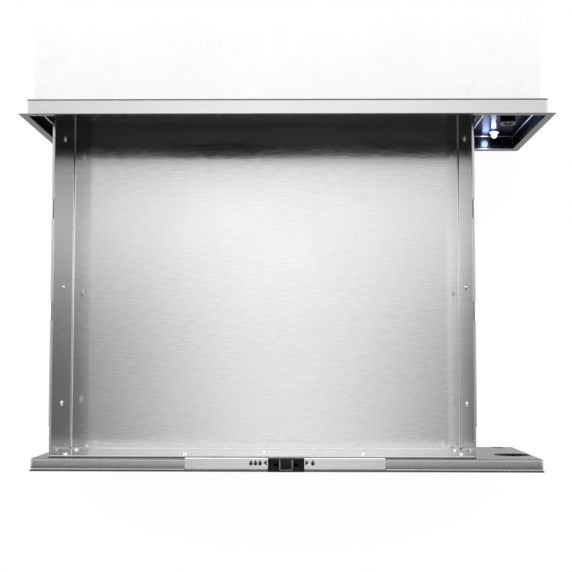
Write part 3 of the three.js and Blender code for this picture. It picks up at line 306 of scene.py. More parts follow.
def slab(outline, low_level, high_level, rounding, steps=3):
    """A flat plate lying in XY whose upper edge is rounded: each ring of the outline moves in by
    rounding * (1 - cos t) while it rises by rounding * sin t, for t from 0 to 90 degrees."""
    outline = np.array(outline, float)
    centre = outline.mean(axis=0)
    reach = np.linalg.norm(outline - centre, axis=1)[:, None]
    t = np.linspace(0, math.pi / 2, steps)
    inset = np.concatenate([[0.0], rounding * (1 - np.cos(t))])
    level = np.concatenate([[low_level], high_level - rounding + rounding * np.sin(t)])
    rings = centre + (outline - centre) * (1 - inset[:, None, None] / reach)
    heights = np.broadcast_to(level[:, None, None], (len(level), len(outline), 1))
    return capped(np.concatenate([rings, heights], axis=2))


def bead_outline(x, y, wide, tall, sunk):
    """Half an ellipse, (x + wide cos a, y + tall sin a) for a from 0 to 180 degrees, with a foot below it."""
    a = np.linspace(0, math.pi, 9)
    arc = points_at(x + wide * np.cos(a), y + tall * np.sin(a))
    return np.concatenate([arc, arc[[-1, 0]] - (0, sunk)])


def box_outline(x0, x1, y0, y1, radius, steps=4):
    """A rectangle with round corners, as points in the XY plane, anticlockwise."""
    left, right, near, far = x0 + radius, x1 - radius, y0 + radius, y1 - radius
    t, arcs = np.linspace(0, math.pi / 2, steps), []
    for quarter, (x, y) in enumerate(((right, far), (left, far), (left, near), (right, near))):
        a = t + quarter * math.pi / 2
        arcs.append(points_at(x + radius * np.cos(a), y + radius * np.sin(a)))
    return np.concatenate(arcs)


def on_wall(shape, wall):
    """A flat plate stood up on a wall that faces -Y: point (x, y, z) goes to (x, wall - z, y)."""
    points, faces = shape
    return points_at(points[:, 0], wall - points[:, 2], points[:, 1]), faces


def on_end(shape):
    """A strip along X stood on its end: x and z change places."""
    points, faces = shape
    return points[:, [2, 1, 0]], faces


def joined(parts):
    """Several (points, faces) pairs as one pair."""
    points, faces, count = [], [], 0
    for part, part_faces in parts:
        points.append(np.asarray(part, float))
        faces.extend([[k + count for k in face] for face in part_faces])
        count += len(part)
    return np.concatenate(points), faces


def face_outwards(mesh):
    """Merges doubles, and makes the faces of every closed shell point outwards."""
    work = bmesh.new()
    work.from_mesh(mesh)
    bmesh.ops.remove_doubles(work, verts=work.verts, dist=1e-7)
    bmesh.ops.recalc_face_normals(work, faces=work.faces)
    work.to_mesh(mesh)
    work.free()


def make_piece(name, shape, body, finish, angle=None, outwards=True):
    """Puts a shape, (points, faces), into one mesh object at the origin that rides on a body. It is shaded
    smooth, apart from edges sharper than the angle in degrees."""
    points, faces = shape
    mesh = bpy.data.meshes.new(name)
    mesh.from_pydata(np.asarray(points, float).tolist(), [], [list(map(int, face)) for face in faces])
    mesh.validate()
    if outwards:
        face_outwards(mesh)
    mesh.polygons.foreach_set("use_smooth", np.full(len(mesh.polygons), True))
    if angle is not None:
        mesh.set_sharp_from_angle(angle=math.radians(angle))
    mesh.update()
    mesh.materials.append(MATERIALS[finish])
    piece = bpy.data.objects.new(name, mesh)
    bpy.context.scene.collection.objects.link(piece)
    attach(piece, body)
    return piece


# ---------------------------------------------------------------- materials


class Nodes:
    """Adds nodes to a tree by kind, and joins them by socket names."""

    def __init__(self, tree):
        self.nodes, self.links = tree.nodes, tree.links

    def add(self, kind, inputs=None, **settings):
        node = self.nodes.new(kind)
        for key, value in settings.items():
            setattr(node, key, value)
        for key, value in (inputs or {}).items():
            if isinstance(value, bpy.types.NodeSocket):
                self.links.new(value, node.inputs[key])
            else:
                node.inputs[key].default_value = value
        return node

    def work(self, a, b, operation="ADD"):
        return self.add("ShaderNodeMath", {0: a, 1: b}, operation=operation).outputs[0]

    def spread(self, value, to_low, to_high, from_low=0.3, from_high=0.7, kind="LINEAR"):
        """Stretches one range of values onto another, with both ends held."""
        ends = {"From Min": from_low, "From Max": from_high, "To Min": to_low, "To Max": to_high}
        return self.add("ShaderNodeMapRange", {"Value": value, **ends}, interpolation_type=kind).outputs[0]

    def profile(self, value, stops):
        """A smooth curve through stops of a value and one to three levels from 0 to 1, with both ends held."""
        first, last = stops[0][0], stops[-1][0]
        node = self.add("ShaderNodeValToRGB", {"Fac": self.spread(value, 0.0, 1.0, first, last)})
        ramp = node.color_ramp
        ramp.interpolation = "CARDINAL"
        ramp.elements.remove(ramp.elements[-1])
        for k, (at, *levels) in enumerate(stops):
            place = (at - first) / (last - first)
            stop = ramp.elements.new(place) if k else ramp.elements[0]
            stop.position = place
            stop.color = (*(levels * 3)[:3], 1.0)
        return node.outputs["Color"]


class Finish(Nodes):
    """A material in the making, kept under its name."""

    def __init__(self, name, color, roughness, metallic=0.0):
        material = bpy.data.materials.new(name)
        material.use_nodes = True
        super().__init__(material.node_tree)
        self.shader = self.nodes["Principled BSDF"]
        self.settle("Base Color", (*color, 1.0))
        self.settle("Roughness", roughness)
        self.settle("Metallic", metallic)
        self.place = self.add("ShaderNodeTexCoord").outputs["Object"]
        MATERIALS[name] = material

    def settle(self, socket, value):
        """Sets a value of the shader that is the same all over the surface."""
        self.shader.inputs[socket].default_value = value

    def scaled(self, scale):
        return self.add("ShaderNodeMapping", {"Vector": self.place, "Scale": scale}).outputs[0]

    def noise(self, scale, vector=None, detail=3.0, roughness=0.55):
        settings = {"Vector": vector or self.place, "Scale": scale, "Detail": detail, "Roughness": roughness}
        return self.add("ShaderNodeTexNoise", settings).outputs["Fac"]

    def part(self, axis, vector=None):
        return self.add("ShaderNodeSeparateXYZ", {0: vector or self.place}).outputs[axis]

    def facing(self, axis):
        """1 where a face looks along that axis, else 0."""
        normal = self.add("ShaderNodeNewGeometry").outputs["Normal"]
        return self.work(self.work(self.part(axis, normal), 0.0, "ABSOLUTE"), 0.6, "GREATER_THAN")

    def blend(self, factor, a, b):
        node = self.add("ShaderNodeMix", {"Factor": factor}, data_type="RGBA")
        for socket, value in ((node.inputs[6], a), (node.inputs[7], b)):
            if isinstance(value, bpy.types.NodeSocket):
                self.links.new(value, socket)
            else:
                socket.default_value = (*value, 1.0)
        return node.outputs[2]

    def colour_now(self):
        return self.shader.inputs["Base Color"].links[0].from_socket

    def colour(self, factor, a, b):
        self.links.new(self.blend(factor, a, b), self.shader.inputs["Base Color"])

    def tone(self, amount, dark=BLACK):
        """Lets the colour fall toward a darker one where the amount falls from 1 to 0."""
        self.colour(amount, dark, self.colour_now())

    def dim(self, mask, off, on, dark=BLACK):
        """Keeps the share `off` of the colour where the mask is 0, and the share `on` where it is 1."""
        self.tone(self.spread(mask, off, on, 0.0, 1.0), dark)

    def rough(self, value):
        self.links.new(value, self.shader.inputs["Roughness"])

    def gloss(self, roughness, grain, swing, clouds, drift, ends=(0.3, 0.7)):
        """Lets the roughness follow a grain, by swing each way, and clouds, by drift each way."""
        near = self.spread(grain, roughness - swing, roughness + swing, *ends)
        self.rough(self.work(near, self.spread(clouds, -drift, drift)))

    def bump(self, height, strength, distance):
        node = self.add("ShaderNodeBump", {"Height": height, "Strength": strength, "Distance": distance})
        self.links.new(node.outputs[0], self.shader.inputs["Normal"])


def shade(color, by):
    """The colour, brighter or darker by a factor."""
    return tuple(min(1.0, part * by) for part in color)


def brushed(name, color, roughness, streak=0.07, anisotropy=0.85, grazing=1.0):
    """Brushed sheet: streaks along X, upright on faces that look sideways, and gloss spread across them.
    A grazing level under 1 dims what is seen at a flat angle."""
    f = Finish(name, color, roughness, 1.0)
    sideways, forward = f.facing("X"), f.facing("Y")
    along, across = 55, 650  # streaks in a metre
    level, upright = f.scaled((along, across, across)), f.scaled((across, across, along))
    vector = f.add("ShaderNodeMix", {"Factor": sideways, 4: level, 5: upright}, data_type="VECTOR").outputs[1]
    grain = f.noise(1.0, vector, 4.0, 0.72)
    f.colour(f.spread(grain, 0.0, 1.0), shade(color, 1 - streak), shade(color, 1 + streak))
    f.gloss(roughness, grain, 0.035, f.noise(5.5, None, 2.0), 0.02)
    f.bump(grain, 0.1, 0.06 * MM)
    away = f.work(1.0, forward, "SUBTRACT")
    tangent = f.add("ShaderNodeCombineXYZ", {"Y": away, "Z": forward}).outputs[0]
    f.links.new(tangent, f.shader.inputs["Tangent"])
    f.settle("Anisotropic", anisotropy)
    f.settle("Specular Tint", (grazing, grazing, grazing, 1.0))
    return f


def pan_sheet(name, color, roughness):
    """Brushed sheet of the pan, with painted shade: its side walls darker toward the front and the rear, and
    its rim darker.
    """
    f = brushed(name, color, roughness, 0.09, 0.7)
    # Painted shade on the side walls: the share of the colour kept at each Y, darkest at the front and the
    # rear.
    wall_painted_shade = [(-0.79, 0.56), (-0.66, 0.6), (-0.56, 0.82), (-0.47, 1.0), (-0.38, 0.76), (-0.3, 0.6)]
    wall = f.profile(f.part("Y"), wall_painted_shade)
    f.tone(f.work(f.work(1.0, f.facing("X"), "SUBTRACT"), wall, "MAXIMUM"))
    # Painted shade on the rim: it keeps two thirds of the colour.
    left, right = low("pan")[0], high("pan")[0]
    off = f.work(f.work(f.part("X"), -(left + right) / 2), 0.0, "ABSOLUTE")
    rim = f.work(off, (right - left) / 2 + 0.7 * MM, "GREATER_THAN")
    f.dim(rim, 1.0, 0.66)


def frame_bar(name, color, edge, roughness, grazing):
    """Brushed bar of the frame, with painted shade: the faces that look along Y keep the colour, and the other
    faces take the darker edge colour.
    """
    f = brushed(name, color, roughness, 0.05, 0.7, grazing)
    f.tone(f.facing("Y"), edge)


def front_sheet(name, color, roughness):
    """Brushed sheet of the drawer's front box, with painted shade: darker on its back, along its front fold
    and at its ends.
    """
    f = brushed(name, color, roughness, 0.05, 0.8)
    dark, front = shade(color, 0.05), low("panel_box")[1]
    # Painted shade along the front fold, standing in for the reflection of a rolled edge; the rear of the top
    # keeps 0.3 of the colour.
    fold_painted_shade = [  # mm behind the front, and the share of the colour there
        (0.0, 0.36), (2.0, 0.38), (4.8, 0.48), (7.5, 0.7), (10.3, 0.8),
        (12.4, 0.86), (13.2, 0.82), (13.9, 0.48), (14.8, 0.4),
    ]
    stops = [(front + at * MM, level) for at, level in fold_painted_shade] + [(high("panel_box")[1], 0.3)]
    f.tone(f.profile(f.part("Y"), stops), dark)
    # Painted shade: the box's ends keep 0.45 of the colour, and its faces that look along Y keep 0.62.
    end = f.work(f.work(f.part("X"), 0.0, "ABSOLUTE"), high("panel_box")[0] - 1.1 * MM, "LESS_THAN")
    f.dim(end, 0.45, 1.0, dark)
    f.dim(f.facing("Y"), 1.0, 0.62, dark)


def plate_sheet(name, color, roughness):
    """Brushed sheet of the front plate, with painted shade along its top edge."""
    f = brushed(name, color, roughness, 0.05, 0.8)
    # Painted shade: the top 0.9 mm of the plate keeps a fifth of the colour.
    below = f.work(f.part("Z"), high("front_plate")[2] - 0.9 * MM, "LESS_THAN")
    f.dim(below, 0.2, 1.0, shade(color, 0.05))


def collar_sheet(name, color, dark, roughness):
    """Brushed sheet on its outer faces, and a polished recess inside with painted shade: near black, with a
    painted blue glow of the lamp toward the lamp's side, darker on its side walls and lighter on the faces
    under its top.
    """
    f = brushed(name, color, roughness, 0.04, 0.8)
    x, z = f.part("X"), f.part("Z")
    top = f.work(z, high("collar")[2] - 0.5 * MM, "GREATER_THAN")
    side = f.work(f.work(x, 0.0, "ABSOLUTE"), high("collar")[0] - 0.5 * MM, "GREATER_THAN")
    bright = f.colour_now()
    # Painted shade inside the recess, turning into the painted blue glow of the lamp between these two X
    # places.
    plain, (blue_glow_start, blue_glow_full) = (0.05, 0.05, 0.052), (0.22, 0.3)
    inside = f.blend(f.spread(x, 0.0, 1.0, blue_glow_start, blue_glow_full), plain, dark)
    inside = f.blend(f.spread(f.noise(40.0), 0.0, 0.25), inside, shade(color, 0.2))
    # Painted shade on the recess's side walls, and painted light on the faces near its top.
    inside = f.blend(f.facing("X"), inside, shade(dark, 0.4))
    ceiling = f.work(z, high("collar")[2] - 3 * MM, "GREATER_THAN")
    inside = f.blend(ceiling, inside, shade(color, 0.5))
    # A bluish specular tint, part of the painted blue glow of the lamp.
    f.settle("Specular Tint", (0.48, 0.48, 0.55, 1.0))
    f.colour(f.work(top, side, "MAXIMUM"), inside, bright)


def zinc_sheet(name, color, roughness):
    """Zinc-coated sheet: crystals of slightly different brightness and gloss, with painted shade on upright
    faces.
    """
    f = Finish(name, color, roughness, 0.8)
    cells = f.add("ShaderNodeTexVoronoi", {"Vector": f.place, "Scale": 70.0, "Randomness": 1.0})
    crystal = f.add("ShaderNodeSeparateColor", {0: cells.outputs["Color"]}).outputs[0]
    f.colour(crystal, shade(color, 0.975), shade(color, 1.02))
    # Painted shade: faces that don't look along Z keep 0.55 of the colour.
    f.dim(f.facing("Z"), 0.55, 1.0)
    f.gloss(roughness, crystal, 0.06, f.noise(9), 0.03, (0, 1))
    f.bump(f.noise(900.0), 0.05, 0.1 * MM)


def speckled(name, color, dark, roughness, scale, metallic=0.0, bump=0.1, swing=0.08):
    """A cast, moulded or dull surface: fine speckle in colour, gloss and height."""
    f = Finish(name, color, roughness, metallic)
    fine = f.noise(scale, None, 4.0)
    f.colour(f.spread(fine, 0.0, 1.0), dark, color)
    f.gloss(roughness, fine, swing, f.noise(scale / 60), swing / 2)
    f.bump(fine, bump, 0.1 * MM)


def moulded(name, color, roughness, shine=0.22):
    """Moulded black plastic: a fine spark-eroded grain with little gloss."""
    f = Finish(name, color, roughness)
    grain = f.noise(2600.0, None, 3.0)
    f.colour(f.spread(grain, 0.0, 1.0), shade(color, 0.7), shade(color, 1.2))
    f.gloss(roughness, grain, 0.06, f.noise(30.0), 0.04)
    f.settle("Specular IOR Level", shine)
    f.bump(grain, 0.12, 0.06 * MM)


def fibres(name, color):
    """Matted glass fibre: long soft strands in two directions."""
    f = Finish(name, color, 0.95)
    level, upright = (f.noise(1.0, f.scaled(scale), 4.0) for scale in ((60, 900, 500), (800, 70, 600)))
    strands = f.work(level, upright, "MULTIPLY")
    f.colour(f.spread(strands, 0.0, 1.0, 0.12, 0.42), shade(color, 0.62), shade(color, 1.3))
    f.bump(strands, 0.7, 1.2 * MM)


def glowing(name, color, glass, strength):
    """A lit lens: brightest at its round end, bluer toward its foot."""
    f = Finish(name, glass, 0.18)
    tip, lit = low("lamp_lens")[1], 14 * MM
    wander = f.work(f.part("Y"), f.spread(f.noise(700.0), -1 * MM, 1 * MM))
    along = f.spread(wander, 0.0, 1.0, tip, tip + lit)
    f.links.new(f.blend(along, (0.95, 0.97, 1.0), color), f.shader.inputs["Emission Color"])
    f.settle("Emission Strength", strength)


def clear_plastic(name, color):
    """Clear moulded window with a faintly uneven gloss."""
    f = Finish(name, color, 0.08)
    f.settle("Transmission Weight", 0.85)
    f.settle("IOR", 1.58)
    f.rough(f.spread(f.noise(400.0), 0.04, 0.14))


def braided(name, color):
    """Braided sleeve: two sets of slanting bands over each other, from the piece's own UV map.
    Each set is sin(16 pi u + s v), with u round the sleeve, v along it in metres, and s = 1700 or -1700."""
    f = Finish(name, color, 0.85)
    u = f.add("ShaderNodeSeparateXYZ", {0: f.add("ShaderNodeUVMap", uv_map="braid").outputs[0]}).outputs
    bands, slope = 8, 1700.0
    around_it = f.work(u["X"], 6.2832 * bands, "MULTIPLY")
    waves = [
        f.work(f.work(around_it, f.work(u["Y"], turn, "MULTIPLY")), 0.0, "SINE") for turn in (slope, -slope)
    ]
    weave = f.work(*waves, "MAXIMUM")
    f.colour(f.spread(weave, 0.0, 1.0, -0.2, 1.0), shade(color, 0.55), shade(color, 1.25))
    f.bump(weave, 0.6, 0.4 * MM)


def floor_paper(name):
    """Pale paper that shows white to the camera and in reflections, and keeps the object's shadow."""
    f = Finish(name, (0.93, 0.93, 0.93), 0.9)
    f.rough(f.spread(f.noise(30.0), 0.85, 0.95))
    glow = f.add("ShaderNodeEmission", {"Color": (1, 1, 1, 1), "Strength": 1.05}).outputs[0]
    path = f.add("ShaderNodeLightPath").outputs
    seen = f.work(path["Is Camera Ray"], path["Is Glossy Ray"], "MAXIMUM")
    seen = f.work(seen, path["Is Transmission Ray"], "MAXIMUM")
    paper_share = f.work(seen, 0.9, "MULTIPLY")
    both = f.add("ShaderNodeMixShader", {0: paper_share, 1: f.shader.outputs[0], 2: glow}).outputs[0]
    f.links.new(both, f.nodes["Material Output"].inputs["Surface"])


# finish: colour, darker colour, roughness, specks in a metre, metal, height of the specks, swing of the gloss
SPECKLED = {
    "cavity_steel": ((0.6, 0.6, 0.62), (0.46, 0.46, 0.48), 0.42, 300.0, 1.0, 0.05),
    "slide_zinc": ((0.72, 0.74, 0.76), (0.6, 0.62, 0.64), 0.28, 500.0, 1.0, 0.05),
    "screw_steel": ((0.98, 0.98, 0.98), (0.92, 0.92, 0.93), 0.24, 1500.0, 1.0, 0.04),
    # A lit copy of the steel for the sill's lip, a painted highlight.
    "lit_lip_steel": ((0.94, 0.94, 0.94), (0.88, 0.88, 0.88), 0.5, 1500.0, 1.0, 0.04),
    "bulb_metal": ((0.62, 0.5, 0.36), (0.5, 0.4, 0.28), 0.35, 700.0, 1.0),
    "chrome": ((0.84, 0.84, 0.86), (0.78, 0.78, 0.8), 0.09, 900.0, 1.0, 0.02, 0.03),
    "rubber": ((0.022, 0.022, 0.023), (0.012, 0.012, 0.013), 0.62, 1500.0, 0.0, 0.2),
    "heater_sheath": ((0.13, 0.11, 0.1), (0.05, 0.048, 0.05), 0.5, 220.0, 0.7, 0.12),
    "ceramic": ((0.78, 0.76, 0.7), (0.68, 0.65, 0.58), 0.5, 900.0, 0.0, 0.15),
    "ink": ((0.02, 0.02, 0.021), (0.012, 0.012, 0.012), 0.5, 3000.0),
    "grey_edge": ((0.17, 0.17, 0.175), (0.13, 0.13, 0.135), 0.5, 3000.0),
    "pale_print": ((0.62, 0.62, 0.63), (0.5, 0.5, 0.51), 0.5, 3000.0),
}


def make_materials(finish):
    """Makes every material of the drawer from the user's colours and gloss."""
    steel, rough, plastic = tuple(finish.steel), finish.steel_gloss, tuple(finish.plastic)
    brushed("stainless", steel, rough + 0.03, 0.05, 0.8)
    # Shaded copies of the stainless, painted shade: the bead keeps 0.84 of the steel and the grille 0.2.
    brushed("shaded_bead_steel", shade(steel, 0.84), rough + 0.03, 0.05, 0.8)
    brushed("grille_steel", shade(steel, 0.2), rough, 0.05, 0.7)
    brushed("strip_steel", tuple(finish.bright), rough, 0.05)
    pan_sheet("pan_steel", steel, rough - 0.143)
    front_sheet("front_steel", steel, rough + 0.03)
    plate_sheet("plate_steel", steel, rough + 0.03)
    collar_sheet("collar_steel", steel, tuple(finish.recess), rough - 0.04)
    # Frame bars in a shaded copy of the stainless: 0.6 of the steel in front, and painted shade of the given
    # share on the other faces; the columns are the name, that share and the grazing level.
    bars = (("trim_steel", 0.24, 0.3), ("frame_steel", 0.17, 0.31), ("sill_steel", 0.17, 0.15))
    for name, edge, grazing in bars:
        frame_bar(name, shade(steel, 0.6), shade(steel, edge), rough, grazing)
    zinc_sheet("zinc_coated", tuple(finish.zinc), 0.36)
    moulded("black_plastic", plastic, 0.4)
    moulded("knob_plastic", plastic, 0.62, 0.06)
    fibres("glass_fibre", tuple(finish.wool))
    fibres("faced_board", (0.06, 0.055, 0.05))
    glowing("lamp", tuple(finish.lamp), (0.8, 0.88, 1.0), 1.12)
    clear_plastic("lamp_window", (0.85, 0.9, 0.95))
    braided("wire_sleeve", (0.42, 0.4, 0.36))
    for name, settings in SPECKLED.items():
        speckled(name, *settings)


# ---------------------------------------------------------------- operators


class DRAWER_OT_materials(bpy.types.Operator):
    """Make the materials and give every CAD node its finish"""

    bl_idname = "drawer.materials"
    bl_label = "Materials"
    bl_options = {"REGISTER", "UNDO"}

    def execute(self, context):
        make_materials(context.scene.drawer_finish)
        special = {
            "pan": "pan_steel", "pan_side_left": "pan_steel", "pan_side_right": "pan_steel",
            "trim_top": "trim_steel", "trim_bottom": "sill_steel",
            "trim_left": "frame_steel", "trim_right": "frame_steel",
            "panel_box": "front_steel", "control_plate": "front_steel", "front_plate": "plate_steel",
            "panel_insulation": "faced_board", "vent_grille": "grille_steel",
        }
        for row in frame["record"]["subparts"]:
            wanted = special.get(row["node"], row["material_slot"])
            for place in NODES[row["node"]].material_slots:
                place.material = MATERIALS[wanted]
        return {"FINISHED"}


class DRAWER_OT_edges(bpy.types.Operator):
    """Round the edges of the folded sheet and moulded pieces that keep their CAD form"""

    bl_idname = "drawer.edges"
    bl_label = "Sheet edges"
    bl_options = {"REGISTER", "UNDO"}

    def execute(self, context):
        usual = 0.28
        widths = {  # in mm, where the user's rounding is the usual one
            0.2: ("vent_grille", "legend_strip"),
            0.25: ("panel_box", "control_plate", "slider_bezel", "duct_partition", "panel_stiffener"),
            usual: ("collar",),
            0.3: (
                "trim_top", "trim_bottom", "trim_left", "trim_right",
                "housing_wrap", "housing_base", "rear_panel", "supply_box",
            ),
            0.4: ("front_plate", "cable_gland", "terminal_block", "lamp_holder"),
            0.5: ("thermostat",),
            0.6: ("rear_stop_left", "rear_stop_right"),
        }
        wanted = context.scene.drawer_sizes.edge / (usual * MM)
        for width, names in widths.items():
            for name in names:
                weld = NODES[name].modifiers.new("merge", "WELD")
                weld.merge_threshold = 0.002 * MM
                bevel = NODES[name].modifiers.new("edge", "BEVEL")
                bevel.width = width * MM * wanted
                bevel.segments = 2
                bevel.limit_method = "ANGLE"
                bevel.angle_limit = math.radians(40)
                bevel.use_clamp_overlap = True
                bevel.harden_normals = True
        return {"FINISHED"}


class DRAWER_OT_pan(bpy.types.Operator):
    """Fold the pan: sides, floor and notched rim in one sheet, with the front and rear walls welded in"""

    bl_idname = "drawer.pan"
    bl_label = "Pan"
    bl_options = {"REGISTER", "UNDO"}

    def execute(self, context):
        sizes = context.scene.drawer_sizes
        t, fold = sizes.sheet, sizes.fold
        left, right = low("pan")[0] - SEAT, high("pan")[0] + SEAT
        floor, rim = low("pan")[2] + t, high("pan_side_left")[2]
        front, rear = low("pan_side_left")[1] + t, high("pan_side_left")[1] - t
        rim_start, notches = 42, ((193, 221), (341, 369))  # mm behind the front wall

        def section(rolled):
            """The sheet's outline across the pan, its rim from a plain edge, at 0, to a rolled hem, at 1."""
            half, bend, plain = t / 2, sizes.bend, 0.6 * MM
            hem = plain + rolled * (sizes.hem - plain)
            out, drop = bend + hem + 0.1 * MM, hem + (0.1 + rolled) * MM
            x0, x1, top, base = left - half, right + half, rim - half, floor - half
            line = [
                (x0 - out, top - drop), (x0 - out, top), (x0, top), (x0, base),
                (x1, base), (x1, top), (x1 + out, top), (x1 + out, top - drop),
            ]
            radii = [hem, bend, fold + half, fold + half, bend, hem]
            return sheet_outline(rounded_line(line, radii, 5, 0.03 * MM), t)

        def weld(y, into):
            """A bead in the corner: radius * (cos a, sin a) from the floor up to the wall."""
            a, bead, sunk = np.linspace(0, math.pi / 2, 7), 1.3 * sizes.bead, 0.2 * t
            arc = points_at(y + into * bead * np.cos(a), floor + bead * np.sin(a))
            back = y - into * sunk
            corner = [[back, floor + bead], [back, floor - sunk], [y + into * bead, floor - sunk]]
            return swept(np.concatenate([arc, corner]), [left + fold, right - fold], "x")

        # The rim stops short of the front wall, and has two notches on each side.
        stations, rolled, step = [(front, 0.0)], 0.0, 0.05 * MM
        for change in (rim_start, *notches[0], *notches[1]):
            stations += [(front + change * MM, rolled), (front + change * MM + step, 1.0 - rolled)]
            rolled = 1.0 - rolled
        stations.append((rear + t * 0.5, rolled))
        shell = capped([np.insert(section(rolled), 1, y, axis=1) for y, rolled in stations])

        corners = [(left - t, rim), (left - t, floor - t), (right + t, floor - t), (right + t, rim)]
        front_wall = swept(rounded_line(corners, fold + 0.6 * t, 6), [front - t, front], "y")
        lip = max(high("pan")[1] - rear - t, 2 * t)
        flange = [(rear + t / 2, floor), (rear + t / 2, rim - t / 2), (rear + t / 2 + lip, rim - t / 2)]
        flange = sheet_outline(rounded_line(flange, 1.4 * MM, 5), t)
        back_wall = swept(flange, [left - t / 2, right + t / 2], "x")
        a, bead = around(14), sizes.bead
        roll = points_at(front - t / 2 + bead * np.cos(a), rim - t / 2 + bead * np.sin(a))
        front_hem = swept(roll, [left - t, right + t], "x")
        shape = joined([shell, front_wall, back_wall, weld(front, 1), weld(rear, -1), front_hem])
        piece = make_piece("warming_pan", shape, "drawer", "pan_steel", 35)
        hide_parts("pan", "pan_side_left", "pan_side_right")

        # Painted shade: dark slabs on the rim's bends at the notches, standing in for the dark ticks that
        # shade makes there.
        notch_shade_slabs = []
        for x0, x1 in ((left - t - sizes.bend, left - 0.4 * t), (right + 0.4 * t, right + t + sizes.bend)):
            for start, stop in notches:
                edge = box_outline(x0, x1, front + start * MM, front + stop * MM, 0.3 * MM)
                notch_shade_slabs.append(slab(edge, rim - 0.3 * MM, rim + 0.15 * MM, 0.1 * MM, 2))
        make_piece("notch_shade_strips", joined(notch_shade_slabs), "drawer", "grey_edge")
        return {"FINISHED"}


class DRAWER_OT_rivets(bpy.types.Operator):
    """Set the slides' rivet heads on the inside of the pan's walls"""

    bl_idname = "drawer.rivets"
    bl_label = "Slide rivets"
    bl_options = {"REGISTER", "UNDO"}

    def execute(self, context):
        sizes = context.scene.drawer_sizes
        front = low("pan_side_left")[1] + sizes.sheet
        span = high("pan_side_left")[1] - sizes.sheet - front
        level = middle("slide_drawer_left")[2]
        radius, height = sizes.rivet / 2 + 0.4 * MM, 2.4 * MM
        along = (0.134, 0.456, 0.874)  # shares of the wall's length
        for side, x, out in (("left", low("pan")[0] - SEAT, 1), ("right", high("pan")[0] + SEAT, -1)):
            heads = [dome((x, front + at * span, level), (out, 0, 0), radius, height) for at in along]
            make_piece("rivet_heads_" + side, joined(heads), "drawer", "screw_steel")
        return {"FINISHED"}


class DRAWER_OT_screws(bpy.types.Operator):
    """Drive the seven cross-recess screws through the pan's front wall"""

    bl_idname = "drawer.screws"
    bl_label = "Pan screws"
    bl_options = {"REGISTER", "UNDO"}

    def execute(self, context):
        recess, height, proud = context.scene.drawer_sizes.recess, 2.3 * MM, 2.2 * MM
        count, twist = 7, 0.7  # each cross is turned on by so many radians from the last
        for k in range(1, count + 1):
            node = "pan_screw_%d" % k
            at = middle(node)
            foot = (at[0], high(node)[1] - proud, at[2])
            shape = crossed_screw(foot, radius_of(node), height, recess, twist * k)
            piece = make_piece("cross_screw_%d" % k, shape, "drawer", "screw_steel", 50)
            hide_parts(node)
        return {"FINISHED"}


class DRAWER_OT_knob(bpy.types.Operator):
    """Turn the ribbed control knob, its pointer and its bright ring"""

    bl_idname = "drawer.knob"
    bl_label = "Control knob"
    bl_options = {"REGISTER", "UNDO"}

    def execute(self, context):
        ribs = context.scene.drawer_sizes.ribs
        at = middle("control_knob")
        back, front = high("control_knob")[1], low("knob_ring")[1]
        centre, deep = (at[0], back, at[2]), back - front
        skirt, barrel = radius_of("control_knob"), radius_of("knob_ring") - 0.2 * MM

        # Rows of a radius and a height over the back; heights run toward -Y.
        flare = [(-2.0, 0), (-0.6, 0), (-0.1, 0.3), (0, 0.8), (-0.15, 1.6), (-0.6, 2.4), (-1.6, 2.9)]
        neck = [(2.6, 3.5), (1.3, 3.9), (0.6, 4.7), (0.3, 5.6)]
        face = [(0, -3.4), (-0.2, -2.9), (-0.7, -2.6), (-1.0, -1.4), (-1.4, -0.75), (-3.1, -0.9), (-6, -1.5)]
        rows = [
            steps_from((skirt, 0), flare), steps_from((barrel, 0), neck),
            steps_from((barrel, deep), face), steps_from((0, deep), [(0.4, -1.75)]),
        ]

        def ripple(a, r, y):
            """Grip ribs: |cos(n a / 2)| to the power 0.6, faded out toward the skirt and the face."""
            off_skirt, off_face = (-y - 4.4 * MM) / (1.2 * MM), (deep - 3.0 * MM + y) / (0.8 * MM)
            grip = np.clip(off_skirt, 0, 1) * np.clip(off_face, 0, 1)
            return 0.32 * MM * grip * (np.abs(np.cos(a * ribs / 2)) ** 0.6 - 0.8)

        shape = turned(np.concatenate(rows) * (1, -1), centre, ribs * 6, ripple)
        knob = make_piece("ribbed_knob", shape, "control_knob", "knob_plastic", 40)
        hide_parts("control_knob")

        inner, outer = (barrel - 0.35 * MM, deep), (barrel + 0.2 * MM, deep)
        rows = [
            steps_from(inner, [(0, -2.3)]),
            steps_from(outer, [(-0.1, -2.7), (0, -2.5), (0, -0.7), (-0.1, -0.3), (-0.2, -0.1), (-0.3, 0)]),
            steps_from(inner, [(0.1, -0.1), (0, -0.5)]),
        ]
        shape = turned(np.concatenate(rows) * (1, -1), centre, 96, ring=True)
        ring = make_piece("bright_ring", shape, "control_knob", "chrome", 50)
        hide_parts("knob_ring")

        # The pointer's two bars: where each starts and stops from the axis, and its height over the back.
        lines, half = [], 0.55 * MM
        on_skirt = (skirt - 4.6 * MM, skirt - 1.3 * MM, 2.65 * MM)
        on_face = (1.5 * MM, barrel - 3.3 * MM, deep - 1.35 * MM)
        for start, stop, level in (on_skirt, on_face):
            outline = box_outline(at[0] - half, at[0] + half, at[2] + start, at[2] + stop, 0.5 * MM)
            lines.append(on_wall(slab(outline, -0.6 * MM, 0.55 * MM, 0.2 * MM), back - level))
        make_piece("knob_pointer", joined(lines), "control_knob", "pale_print")
        return {"FINISHED"}


